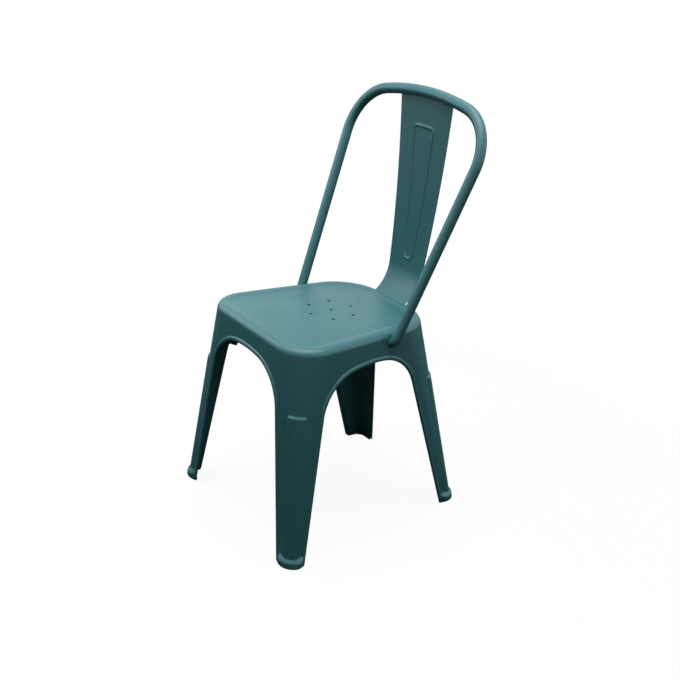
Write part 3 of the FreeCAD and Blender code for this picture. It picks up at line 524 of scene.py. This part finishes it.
# Seat pan: rows climb the skirt, turn over the shoulder and dip into the dish with its drain holes
pan = {
    "shoulder": 12.0,
    "dishInset": 16.5,
    "dishRamp": 13.0,
    "dishDepth": 2.5,
    "rimLead": 2.5,
    "floorLead": 4.0,
    "skirtRows": 8,
    "shoulderRows": 12,
    "rampRows": 10,
    "arcPoints": 22,
    "linePoints": 16,
    "bore": 3.4,
    "lipRound": 0.6,
    "lipRows": 6,
    "lipDepth": 3.2,
    "lipWall": 0.8,
    "holeSides": 28,
    "ringHoles": 6,
    "ring": 49.0,
    "centreY": 14.0,
    "fieldX": (-96.0, 96.0),
    "fieldY": (-138.0, 78.0),
    "fieldStep": 12.0,
    "fieldClear": 8.0,
    "meetWithin": 1e-5,
}


# Closed outline of the walls at a height: straight, arc, straight, arc, straight, then the mirror of them
def wallLoop(z, grow):
    fx, fy, frontRadius = cornerCentre("front", z, grow)
    rx, ry, rearRadius = cornerCentre("rear", z, grow)
    frontTurn = np.linspace(-pi / 2, lean, pan["arcPoints"])
    rearTurn = np.linspace(lean, pi / 2, pan["arcPoints"])
    frontArc = np.array([fx, fy]) + frontRadius * np.stack([np.cos(frontTurn), np.sin(frontTurn)], axis=-1)
    rearArc = np.array([rx, ry]) + rearRadius * np.stack([np.cos(rearTurn), np.sin(rearTurn)], axis=-1)
    frontMid, rearMid = np.array([0.0, frontArc[0, 1]]), np.array([[0.0, rearArc[-1, 1]]])
    share = np.linspace(0, 1, pan["linePoints"], endpoint=False)[:, None]
    frontLine = frontMid + (frontArc[0] - frontMid) * share
    sideLine = (frontArc[-1] + (rearArc[0] - frontArc[-1]) * share)[1:]
    rearLine = (rearArc[-1] + (rearMid - rearArc[-1]) * share)[1:]
    half = np.concatenate([frontLine, frontArc, sideLine, rearArc, rearLine])
    return np.concatenate([half, rearMid, half[1:][::-1] * np.array([-1.0, 1.0])])


# Pairs of height and growth of the outline, from the skirt's edge to the dish's floor: a straight skirt,
# a quarter round and an eased ramp, all moved inwards by a distance
def panRows(inward):
    top, radius = body["seatHeight"] - inward, pan["shoulder"] - inward
    rows = [(z, -inward) for z in np.linspace(body["seam"], top - radius, pan["skirtRows"])]
    for angle in np.linspace(0, pi / 2, pan["shoulderRows"])[1:]:
        rows.append((top - radius + radius * math.sin(angle), -inward - radius * (1 - math.cos(angle))))
    start, ramp, depth = pan["dishInset"] + inward, pan["dishRamp"], pan["dishDepth"]
    rows.append((top, -start + pan["rimLead"]))
    for share in np.linspace(0, 1, pan["rampRows"]):
        rows.append((top - depth * float(smoothStep(share)), -start - ramp * share))
    rows.append((top - depth, -start - ramp - pan["floorLead"]))
    return rows


# Grid of one skin: the walls' closed outline at the height and growth of each row
def skin(rows):
    loops = [(wallLoop(z, grow), z) for z, grow in rows]
    return np.stack([np.column_stack([loop, np.full(len(loop), z)]) for loop, z in loops])


# Middles of the drain holes: one at the centre and a ring of them round it
def drainCentres():
    turn = 2 * pi * np.arange(pan["ringHoles"]) / pan["ringHoles"]
    ring = pan["ring"] * np.stack([np.sin(turn), np.cos(turn)], axis=-1)
    return np.concatenate([[[0.0, 0.0]], ring]) + np.array([0.0, pan["centreY"]])


# Circles of a radius round the drain holes' middles, one row each
def drainCircles(radius):
    turn = np.linspace(0, 2 * pi, pan["holeSides"], endpoint=False)
    return drainCentres()[:, None] + radius * np.stack([np.cos(turn), np.sin(turn)], axis=-1)


# Distance of each point from the nearest drain hole's middle
def fromDrain(points):
    return np.linalg.norm(points[:, None] - drainCentres()[None], axis=-1).min(axis=1)


# Flat triangles between an outline and the round holes in it, over an even field of points. The points
# come back in the order outline, holes, field.
def pierced(loop, radius):
    circles = drainCircles(radius)
    step = pan["fieldStep"]
    (left, right), (front, rear) = pan["fieldX"], pan["fieldY"]
    x, y = np.meshgrid(np.arange(left, right + 1, step), np.arange(front, rear + 1, step), indexing="ij")
    field = np.stack([x.ravel(), y.ravel()], axis=-1)
    points = np.concatenate([loop, circles.reshape(-1, 2), field[fromDrain(field) > pan["fieldClear"]]])
    numbers = np.arange(len(loop))
    edges = [np.stack([numbers, np.roll(numbers, -1)], axis=-1)]
    holes = len(loop) + np.arange(circles.shape[0] * circles.shape[1]).reshape(circles.shape[:2])
    edges.append(np.stack([holes, np.roll(holes, -1, axis=1)], axis=-1).reshape(-1, 2))
    corners = [Vector(point) for point in points.tolist()]
    made = delaunay_2d_cdt(corners, np.concatenate(edges).tolist(), [], 1, pan["meetWithin"])
    flat, triangles = np.array(made[0]), np.array(made[2])
    triangles = triangles[fromDrain(flat[triangles].mean(axis=1)) > radius]
    return flat, triangles, holes


# Each drain hole is turned down: its edge rolls over by a quarter round, drops as a short collar and
# comes back to the inner skin. Pairs of radius and drop.
def collarRows():
    bore, rounding = pan["bore"], pan["lipRound"]
    turn = np.linspace(0, pi / 2, pan["lipRows"])[1:]
    rows = [(bore + rounding * (1 - math.sin(angle)), rounding * (1 - math.cos(angle))) for angle in turn]
    return rows + [(bore, pan["lipDepth"]), (bore + pan["lipWall"], pan["lipDepth"])]


# Both skins with their pierced floors, the collars between their holes and the rim between their edges
def panShell():
    points, faces, rims, holeRings = [], [], [], []
    count = 0
    for inward in (0.0, body["wall"]):
        grid = skin(panRows(inward))
        rows, columns = grid.shape[:2]
        index = count + np.arange(rows * columns).reshape(rows, columns)
        flat, triangles, holes = pierced(grid[-1, :, :2], pan["bore"] + pan["lipRound"])
        count += rows * columns
        numbers = np.concatenate([index[-1], count + np.arange(len(flat) - columns)])
        count += len(flat) - columns
        floor = np.column_stack([flat, np.full(len(flat), grid[-1, 0, 2])])
        points += [grid.reshape(-1, 3), floor[columns:]]
        faces += gridFaces(wrapped(index)) + numbers[triangles].tolist()
        rims.append(wrapped(index)[0])
        holeRings.append(numbers[holes])
    faces += gridFaces(np.stack(rims))
    rings = [holeRings[0]]
    for radius, drop in collarRows():
        circles = drainCircles(radius).reshape(-1, 2)
        height = np.full(len(circles), body["seatHeight"] - pan["dishDepth"] - drop)
        points.append(np.column_stack([circles, height]))
        rings.append(count + np.arange(len(circles)).reshape(holeRings[0].shape))
        count += len(circles)
    rings.append(holeRings[1])
    for collar in np.stack(rings, axis=1):
        faces += gridFaces(wrapped(collar))
    return np.concatenate(points), faces


seatPan = makeMesh("seat_pan_sheet", *panShell())
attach(seatPan, "root")
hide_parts("seat_pan")
painted.append(seatPan)
print("seat pan ready")

# Back hoop: one round tube along a leaning arch with its ends turned in under the shoulder.
# Its middle line has a count of points for the end, elbow, side, corner and crown.
hoop = {
    "radius": 10.0,
    "baseHalf": 162.6,
    "baseY": 53.4,
    "baseZ": 426.7,
    "lean": math.radians(20.13),
    "splay": math.radians(4.85),
    "corner": 91.7,
    "crown": 618.0,
    "top": 847.0,
    "elbow": 14.0,
    "inside": 16.0,
    "sides": 40,
    "counts": (4, 10, 40, 40, 30),
}
hoopRise = hoop["top"] - hoop["radius"] - hoop["baseZ"]


# Half of the tube's middle line in its own plane, from the inner end up to the crown: straight pieces and
# arcs, each touching the next
def hoopLine():
    rise = hoopRise / math.cos(hoop["lean"])
    splay, corner, crown = hoop["splay"], hoop["corner"], hoop["crown"]
    endCount, elbowCount, sideCount, cornerCount, crownCount = hoop["counts"]
    base = np.array([hoop["baseHalf"], 0.0])
    across = np.array([-math.cos(splay), math.sin(splay)])
    along = np.array([math.sin(splay), math.cos(splay)])
    crownCentre = np.array([0.0, rise - crown])
    gap = base + corner * across - crownCentre
    mid = gap @ along
    centre = base + corner * across + (math.sqrt(mid ** 2 - gap @ gap + (crown - corner) ** 2) - mid) * along
    joint = math.atan2(centre[1] - crownCentre[1], centre[0])
    elbow = base + hoop["elbow"] * across
    floor = elbow[1] - hoop["elbow"]
    arcs = (
        (elbow, hoop["elbow"], np.linspace(-pi / 2, -splay, elbowCount, endpoint=False)),
        (centre, corner, np.linspace(-splay, joint, cornerCount, endpoint=False)),
        (crownCentre, crown, np.linspace(joint, pi / 2, crownCount)),
    )
    bent, turned, crowned = (
        heart + radius * np.stack([np.cos(turn), np.sin(turn)], axis=-1) for heart, radius, turn in arcs
    )
    inner = np.linspace([elbow[0] - hoop["inside"], floor], [elbow[0], floor], endCount, endpoint=False)
    straight = np.linspace(base, turned[0], sideCount, endpoint=False)
    return np.concatenate([inner, bent, straight, turned, crowned])


# Points of the leaning plane, moved by a distance along the plane's normal
def inHoopPlane(flat, off):
    tilt = hoop["lean"]
    x, rise = flat[..., 0], flat[..., 1]
    y = hoop["baseY"] + rise * math.sin(tilt) + off * math.cos(tilt)
    z = hoop["baseZ"] + rise * math.cos(tilt) - off * math.sin(tilt)
    return np.stack([x, y, z], axis=-1)


# A circle at right angles to the middle line, carried along it from one end to the other
def hoopTube():
    half = hoopLine()
    line = np.concatenate([half, half[:-1][::-1] * np.array([-1.0, 1.0])])
    travel = np.gradient(line, axis=0)
    travel /= np.linalg.norm(travel, axis=1, keepdims=True)
    across = np.stack([travel[:, 1], -travel[:, 0]], axis=-1)
    turn = np.linspace(0, 2 * pi, hoop["sides"], endpoint=False)
    ring = line[:, None] + hoop["radius"] * np.cos(turn)[None, :, None] * across[:, None]
    return inHoopPlane(ring, hoop["radius"] * np.sin(turn))


tube = hoopTube()
backHoop = makeMesh("back_hoop_tube", tube, tubeFaces(tube), sharp=60)
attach(backHoop, "root")
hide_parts("back_hoop")
painted.append(backHoop)
print("hoop ready")

# Back splat: a tapered sheet that bends forward at its foot, with one pressed ridge in a long loop.
# The loop has a count of points for its foot, its side, its corner and its top.
splat = {
    "landingY": 164.0,
    "landingLean": math.radians(56.0),
    "bend": 83.0,
    "bow": 2620.0,
    "topHalf": 76.2,
    "footHalf": 48.5,
    "taper": 0.067,
    "flare": 150.0,
    "wall": 1.2,
    "rows": 250,
    "columns": 97,
    "loopTop": 766.0,
    "loopFoot": 530.0,
    "loopTopHalf": 27.4,
    "loopFootHalf": 14.5,
    "loopCorner": 9.0,
    "loopCounts": (60, 400, 60, 40),
    "ridgeHeight": 1.7,
    "ridgeWidth": 1.9,
    "chunk": 4000,
}


# Side line of the splat's front face as (y, z), and its rearward normal: an arc at the foot, then a very
# wide arc that touches it and ends under the hoop's crown
def splatProfile():
    slope, bend, bow, count = splat["landingLean"], splat["bend"], splat["bow"], splat["rows"]
    landing = np.array([splat["landingY"], body["seatHeight"]])
    top = np.array([hoop["baseY"] + hoopRise * math.tan(hoop["lean"]), hoop["baseZ"] + hoopRise])
    centre = landing + bend * np.array([-math.cos(slope), math.sin(slope)])
    reach = math.dist(top, centre)
    share = ((bow - bend) ** 2 + reach ** 2 - bow ** 2) / (2 * (bow - bend) * reach)
    away = math.atan2(top[1] - centre[1], top[0] - centre[0]) + math.acos(share)
    bowCentre = centre + (bow - bend) * np.array([math.cos(away), math.sin(away)])
    joint = away - pi
    last = math.atan2(top[1] - bowCentre[1], top[0] - bowCentre[0])
    low = int(count * bend * (slope + joint) / (bend * (slope + joint) + bow * (last - joint)))
    lower = np.linspace(-slope, joint, low, endpoint=False)
    upper = np.linspace(joint, last, count - low)
    angles = np.concatenate([lower, upper])
    normal = np.stack([np.cos(angles), np.sin(angles)], axis=-1)
    return np.concatenate([centre + bend * normal[:low], bowCentre + bow * normal[low:]]), normal


# Half width of the splat at a height: a straight taper, and below it an arc that touches it and runs out
# to the landing
def splatHalfWidth(z):
    slope, radius = math.atan(splat["taper"]), splat["flare"]
    along = np.array([-math.sin(slope), -math.cos(slope)])
    across = np.array([along[1], -along[0]])
    top = np.array([splat["topHalf"], hoop["top"]])
    gap = np.array([splat["footHalf"], body["seatHeight"]]) - top
    back = math.sqrt(radius ** 2 - (radius - gap @ across) ** 2)
    joint = top + (gap @ along - back) * along
    centre = joint + radius * across
    straight = splat["topHalf"] - splat["taper"] * (hoop["top"] - z)
    curved = centre[0] + np.sqrt(np.clip(radius ** 2 - (z - centre[1]) ** 2, 0, None))
    return np.where(z > joint[1], straight, curved)


# Points along the pressed ridge: a tapered loop with a round foot and two round corners
def ridgeLine():
    high, low = splat["loopTop"], splat["loopFoot"]
    corner, slim = splat["loopCorner"], splat["loopFootHalf"]
    footCount, sideCount, cornerCount, topCount = splat["loopCounts"]
    inner = splat["loopTopHalf"] - corner
    spread = math.hypot(inner, high - low)
    tilt = math.atan2(inner, high - low) + math.asin((corner - slim) / spread)
    foot = np.linspace(-pi / 2, -tilt, footCount)
    cap = np.linspace(-tilt, pi / 2, cornerCount)
    bottom = np.stack([slim * np.cos(foot), low + slim * np.sin(foot)], axis=-1)
    upper = np.stack([inner + corner * np.cos(cap), high + corner * np.sin(cap)], axis=-1)
    side = np.linspace(bottom[-1], upper[0], sideCount)
    flat = np.linspace(upper[-1], [0.0, upper[-1][1]], topCount)
    return np.concatenate([bottom, side, upper, flat])


# Distance of each point from the nearest point of a line, worked out in chunks to spare memory
def fromLine(points, line):
    starts = range(0, len(points), splat["chunk"])
    chunks = [points[start:start + splat["chunk"], None] - line[None] for start in starts]
    return np.concatenate([np.sqrt((chunk ** 2).sum(-1)).min(axis=1) for chunk in chunks])


# Front and rear skin of the splat: the profile spread to the half width, with the ridge lifted forwards
# by a bell curve of the distance from its line
def splatSkins():
    profile, normal = splatProfile()
    across = splatHalfWidth(profile[:, 1])[:, None] * np.linspace(-1, 1, splat["columns"])
    heights = np.broadcast_to(profile[:, 1][:, None], across.shape)
    flatPoints = np.stack([np.abs(across).ravel(), heights.ravel()], axis=-1)
    nearest = fromLine(flatPoints, ridgeLine()).reshape(across.shape)
    lift = splat["ridgeHeight"] * np.exp(-((nearest / splat["ridgeWidth"]) ** 2))
    skins = []
    for depth in (-lift, splat["wall"] - lift):
        y = profile[:, 0][:, None] + normal[:, 0][:, None] * depth
        z = profile[:, 1][:, None] + normal[:, 1][:, None] * depth
        skins.append(np.stack([across, y, z], axis=-1))
    return skins


backSplat = makeMesh("back_splat_sheet", *thickened(*splatSkins()))
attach(backSplat, "root")
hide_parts("back_splat")
painted.append(backSplat)
print("splat ready")

# Weld: a rippled bead along the line where the splat lands on the seat, half sunk into both
weld = {
    "radius": 1.3,
    "sides": 12,
    "ripple": 0.175,
    "pitch": 3.2,
    "rings": 160,
    "sunk": 0.4,
    "tipScale": 0.05,
}


# A circle carried along a straight path: its radius ripples as a sine and shrinks to almost nothing at
# both ends
def weldBead(start, end):
    path = np.linspace(start, end, weld["rings"])
    length = np.linalg.norm(path - path[0], axis=1)
    travel = (path[-1] - path[0]) / length[-1]
    sideways = np.cross(travel, [0.0, 0.0, 1.0])
    upright = np.cross(sideways, travel)
    ripple = 1 + weld["ripple"] * np.sin(2 * pi * length / weld["pitch"])
    fade = np.clip(np.minimum(length, length[-1] - length) / (2 * weld["radius"]), weld["tipScale"], 1)
    size = weld["radius"] * ripple * np.sqrt(fade)
    turn = np.linspace(0, 2 * pi, weld["sides"], endpoint=False)[:, None]
    ring = np.cos(turn) * sideways + np.sin(turn) * upright
    return path[:, None] + ring[None] * size[:, None, None]


footY = splat["landingY"] - weld["sunk"]
beadEnds = [(side * splat["footHalf"], footY, body["seatHeight"]) for side in (-1, 1)]
bead = weldBead(*beadEnds)
splatWeld = makeMesh("splat_foot_weld", bead, tubeFaces(bead), sharp=80)
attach(splatWeld, "root")
painted.append(splatWeld)
print("weld ready")

# Materials: satin teal paint on steel, and black plastic for the glides.
# A noise is its scale, detail and roughness; a bump is its strength and distance.
paintFinish = {
    "tone": (0.029, 0.147, 0.164, 1.0),
    "toneDeep": (0.025, 0.134, 0.150, 1.0),
    # Lighter grey on convex edges: worn paint and a painted highlight along the edges
    "bareSteelAndSheen": (0.30, 0.36, 0.37, 1.0),
    "toneNoise": (7.0, 3.0, 0.5),
    "toneRange": (0.35, 0.65),
    "edgeRange": (0.56, 0.70),
    "edgePatchNoise": (260.0, 5.0, 0.7),
    "edgePatchRange": (0.5, 0.62),
    "wearAndSheenMost": 0.25,
    "grainNoise": (900.0, 2.0, 0.5),
    "roughness": (0.40, 0.50),
    "bump": (0.06, 0.0004),
}
plasticFinish = {
    "tone": (0.012, 0.012, 0.013, 1.0),
    "dusty": (0.05, 0.05, 0.048, 1.0),
    "dustNoise": (120.0, 4.0, 0.5),
    "dustRange": (0.4, 0.8),
    "dustMost": 0.35,
    "grainNoise": (1500.0, 2.0, 0.5),
    "roughness": (0.5, 0.7),
    "bump": (0.15, 0.0003),
}
unevenRange = (0.3, 0.7)


# Material with one shader, and the object's own coordinates for its noises
def newMaterial(name):
    material = bpy.data.materials.new(name)
    material.use_nodes = True
    tree = material.node_tree
    tree.nodes.clear()
    output = tree.nodes.new("ShaderNodeOutputMaterial")
    shader = tree.nodes.new("ShaderNodeBsdfPrincipled")
    tree.links.new(shader.outputs["BSDF"], output.inputs["Surface"])
    coordinate = tree.nodes.new("ShaderNodeTexCoord").outputs["Object"]
    return material, tree, shader, coordinate


# Cloudy noise between 0 and 1
def noise(tree, coordinate, settings):
    node = tree.nodes.new("ShaderNodeTexNoise")
    for socket, value in zip(("Scale", "Detail", "Roughness"), settings):
        node.inputs[socket].default_value = value
    tree.links.new(coordinate, node.inputs["Vector"])
    return node.outputs["Fac"]


# Straight line from one range to another, held at its ends
def mapRange(tree, source, fromRange, toRange=(0.0, 1.0)):
    node = tree.nodes.new("ShaderNodeMapRange")
    for socket, value in zip(("From Min", "From Max", "To Min", "To Max"), (*fromRange, *toRange)):
        node.inputs[socket].default_value = value
    tree.links.new(source, node.inputs["Value"])
    return node.outputs["Result"]


# The first colour at a factor of 0 and the second at 1; each may be a value or a socket
def mixColour(tree, factor, first, second):
    node = tree.nodes.new("ShaderNodeMix")
    node.data_type = "RGBA"
    for place, value in (("Factor", factor), ("A", first), ("B", second)):
        socket = next(s for s in node.inputs if s.name == place and s.enabled)
        if isinstance(value, bpy.types.NodeSocket):
            tree.links.new(value, socket)
        else:
            socket.default_value = value
    return next(s for s in node.outputs if s.enabled)


# Fine bumps in the shader's normal, from a noise taken as a height
def roughen(tree, shader, height, settings):
    bump = tree.nodes.new("ShaderNodeBump")
    for socket, value in zip(("Strength", "Distance"), settings):
        bump.inputs[socket].default_value = value
    tree.links.new(height, bump.inputs["Height"])
    tree.links.new(bump.outputs["Normal"], shader.inputs["Normal"])


# Mask of convex edges, from how pointed the surface is at each vertex
def edgeGroup():
    group = bpy.data.node_groups.new("EdgeMask", "ShaderNodeTree")
    group.interface.new_socket("Amount", in_out="OUTPUT", socket_type="NodeSocketFloat")
    geometry = group.nodes.new("ShaderNodeNewGeometry")
    out = group.nodes.new("NodeGroupOutput")
    level = mapRange(group, geometry.outputs["Pointiness"], paintFinish["edgeRange"])
    group.links.new(level, out.inputs["Amount"])
    return group


# Two close tones in broad patches, with bare steel where the edge mask meets the patchy noise: partly worn
# edges, partly a painted highlight along them
def paintMaterial():
    material, tree, shader, coordinate = newMaterial("satinTealPaint")
    broad = noise(tree, coordinate, paintFinish["toneNoise"])
    patches = mapRange(tree, broad, paintFinish["toneRange"])
    tone = mixColour(tree, patches, paintFinish["tone"], paintFinish["toneDeep"])
    edges = tree.nodes.new("ShaderNodeGroup")
    edges.node_tree = edgeGroup()
    edgePatches = noise(tree, coordinate, paintFinish["edgePatchNoise"])
    product = tree.nodes.new("ShaderNodeMath")
    product.operation = "MULTIPLY"
    tree.links.new(edges.outputs["Amount"], product.inputs[0])
    tree.links.new(mapRange(tree, edgePatches, paintFinish["edgePatchRange"]), product.inputs[1])
    # Edge wear mixed with a painted highlight, at most a quarter of the way to the grey
    wearAndSheen = mapRange(tree, product.outputs["Value"], (0.0, 1.0), (0.0, paintFinish["wearAndSheenMost"]))
    tree.links.new(mixColour(tree, wearAndSheen, tone, paintFinish["bareSteelAndSheen"]), shader.inputs["Base Color"])
    tree.links.new(mapRange(tree, broad, unevenRange, paintFinish["roughness"]), shader.inputs["Roughness"])
    roughen(tree, shader, noise(tree, coordinate, paintFinish["grainNoise"]), paintFinish["bump"])
    return material


# Near black, with a little dust in patches
def plasticMaterial():
    material, tree, shader, coordinate = newMaterial("blackGlidePlastic")
    dust = noise(tree, coordinate, plasticFinish["dustNoise"])
    amount = mapRange(tree, dust, plasticFinish["dustRange"], (0.0, plasticFinish["dustMost"]))
    colour = mixColour(tree, amount, plasticFinish["tone"], plasticFinish["dusty"])
    tree.links.new(colour, shader.inputs["Base Color"])
    tree.links.new(mapRange(tree, dust, unevenRange, plasticFinish["roughness"]), shader.inputs["Roughness"])
    roughen(tree, shader, noise(tree, coordinate, plasticFinish["grainNoise"]), plasticFinish["bump"])
    return material


# Gives each piece the one material
def dress(pieces, material):
    for piece in pieces:
        piece.data.materials.clear()
        piece.data.materials.append(material)


paint = paintMaterial()
plastic = plasticMaterial()
dress(painted, paint)
dress(moulded, plastic)
for name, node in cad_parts.items():
    for slot in node.material_slots:
        slot.material = plastic if name.endswith("glide") else paint
print("materials ready")

# Camera: the photograph's viewpoint, found from the chair's own outline.
# Focal length, aim and centre are in pixels of the photograph, distance and target in millimetres.
view = {
    "azimuth": math.radians(51.76),
    "elevation": math.radians(31.155),
    "roll": math.radians(4.803),
    "distance": 1798.0,
    "target": (0.0, 0.0, 347.33),
    "focal": 874.44,
    "aim": (322.54, 350.71),
    "centre": (334.62, 468.69),
    "picture": 680,
    "sensor": 36.0,
    "clipEnd": 50.0,
}


# The camera stands back from its target along the ray through the aim, turned by azimuth, elevation and
# roll; the centre is where its axis meets the picture
def makeCamera():
    az, el, roll = view["azimuth"], view["elevation"], view["roll"]
    back = np.array([math.sin(az) * math.cos(el), -math.cos(az) * math.cos(el), math.sin(el)])
    level = np.array([math.cos(az), math.sin(az), 0.0])
    upright = np.cross(back, level)
    right = math.cos(roll) * level + math.sin(roll) * upright
    up = -math.sin(roll) * level + math.cos(roll) * upright
    (aimX, aimY), (centreX, centreY), size = view["aim"], view["centre"], view["picture"]
    ray = -back + ((aimX - centreX) * right - (aimY - centreY) * up) / view["focal"]
    data = bpy.data.cameras.new("photoCamera")
    data.sensor_width = view["sensor"]
    data.lens = view["focal"] / size * view["sensor"]
    data.shift_x = (size / 2 - centreX) / size
    data.shift_y = (centreY - size / 2) / size
    data.clip_end = view["clipEnd"]
    camera = bpy.data.objects.new("photoCamera", data)
    place = placed(np.array(view["target"]) - ray * view["distance"])
    matrix = np.eye(4)
    matrix[:3] = np.column_stack([right, up, back, place])
    camera.matrix_world = Matrix(matrix.tolist())
    scene.collection.objects.link(camera)
    scene.camera = camera


makeCamera()
print("camera ready")

# Studio: soft disks round the chair, a pale sky above them and a floor that shows white.
# A lamp is its place, the width of its disk in metres and its power in watts.
studio = {
    "lamps": {
        "topLight": ((0.0, -0.1, 3.0), 2.4, 77.0),
        "frontLight": ((-0.3, -1.0, 2.3), 0.9, 9.0),
        "nearLight": ((-0.75, -0.6, 1.0), 0.7, 3.2),
        "sideLight": ((2.6, 0.9, 1.6), 1.4, 7.0),
        "rearLight": ((1.6, 2.6, 1.3), 1.4, 10.0),
    },
    "target": (0.0, 0.0, 0.45),
    "skyColour": (0.95, 0.98, 1.0, 1.0),
    "skyStrength": 0.04,
    "skyFull": 0.8,
    "mirrored": 1.15,
    "floorHalf": 12.0,
    "floorColour": (0.06, 0.06, 0.06, 1.0),
    "floorShown": 0.94,
    "floorClear": (0.9, 2.2),
}
white = (1.0, 1.0, 1.0, 1.0)


# Round area lamp turned towards the middle of the chair
def softLight(name, place, size, power):
    data = bpy.data.lights.new(name, "AREA")
    data.shape = "DISK"
    data.size = size
    data.energy = power
    lamp = bpy.data.objects.new(name, data)
    lamp.location = place
    lamp.rotation_euler = (Vector(studio["target"]) - Vector(place)).to_track_quat("-Z", "Y").to_euler()
    scene.collection.objects.link(lamp)


# Even light of one colour from all round
def background(tree, colour, strength):
    node = tree.nodes.new("ShaderNodeBackground")
    node.inputs["Color"].default_value = colour
    node.inputs["Strength"].default_value = strength
    return node.outputs["Background"]


# The first shader at a factor of 0 and the second at 1
def mixShader(tree, factor, first, second):
    node = tree.nodes.new("ShaderNodeMixShader")
    for place, value in enumerate((factor, first, second)):
        tree.links.new(value, node.inputs[place])
    return node.outputs["Shader"]


# Sky that is dark at the horizon and brighter overhead, shown and mirrored as plain white
def makeWorld():
    world = bpy.data.worlds.new("studio")
    scene.world = world
    world.use_nodes = True
    tree = world.node_tree
    tree.nodes.clear()
    direction = tree.nodes.new("ShaderNodeTexCoord").outputs["Generated"]
    split = tree.nodes.new("ShaderNodeSeparateXYZ")
    tree.links.new(direction, split.inputs["Vector"])
    height = mapRange(tree, split.outputs["Z"], (0.0, studio["skyFull"]))
    dark = background(tree, studio["skyColour"], 0.0)
    sky = mixShader(tree, height, dark, background(tree, studio["skyColour"], studio["skyStrength"]))
    path = tree.nodes.new("ShaderNodeLightPath").outputs
    mirrored = mixShader(tree, path["Is Glossy Ray"], sky, background(tree, white, studio["mirrored"]))
    shown = mixShader(tree, path["Is Camera Ray"], mirrored, background(tree, white, 1.0))
    output = tree.nodes.new("ShaderNodeOutputWorld")
    tree.links.new(shown, output.inputs["Surface"])


# Matte floor that takes the chair's shadow. The camera also sees a glow that lifts it to white, more so
# with the distance from the chair.
def makeFloor():
    size = studio["floorHalf"]
    mesh = bpy.data.meshes.new("studioFloor")
    corners = [(-size, -size, 0), (size, -size, 0), (size, size, 0), (-size, size, 0)]
    mesh.from_pydata(corners, [], [(0, 1, 2, 3)])
    floor = bpy.data.objects.new("studioFloor", mesh)
    scene.collection.objects.link(floor)
    material = bpy.data.materials.new("paleFloor")
    material.use_nodes = True
    tree = material.node_tree
    tree.nodes.clear()
    far = tree.nodes.new("ShaderNodeVectorMath")
    far.operation = "LENGTH"
    tree.links.new(tree.nodes.new("ShaderNodeTexCoord").outputs["Object"], far.inputs[0])
    glow = tree.nodes.new("ShaderNodeEmission")
    shown = mapRange(tree, far.outputs["Value"], studio["floorClear"], (studio["floorShown"], 1.0))
    tree.links.new(shown, glow.inputs["Strength"])
    matte = tree.nodes.new("ShaderNodeBsdfDiffuse")
    matte.inputs["Color"].default_value = studio["floorColour"]
    total = tree.nodes.new("ShaderNodeAddShader")
    tree.links.new(glow.outputs["Emission"], total.inputs[0])
    tree.links.new(matte.outputs["BSDF"], total.inputs[1])
    path = tree.nodes.new("ShaderNodeLightPath").outputs
    mixed = mixShader(tree, path["Is Camera Ray"], matte.outputs["BSDF"], total.outputs["Shader"])
    output = tree.nodes.new("ShaderNodeOutputMaterial")
    tree.links.new(mixed, output.inputs["Surface"])
    dress([floor], material)


for name, (place, size, power) in studio["lamps"].items():
    softLight(name, place, size, power)
makeWorld()
makeFloor()
scene.view_settings.view_transform = "Standard"
print("studio ready")
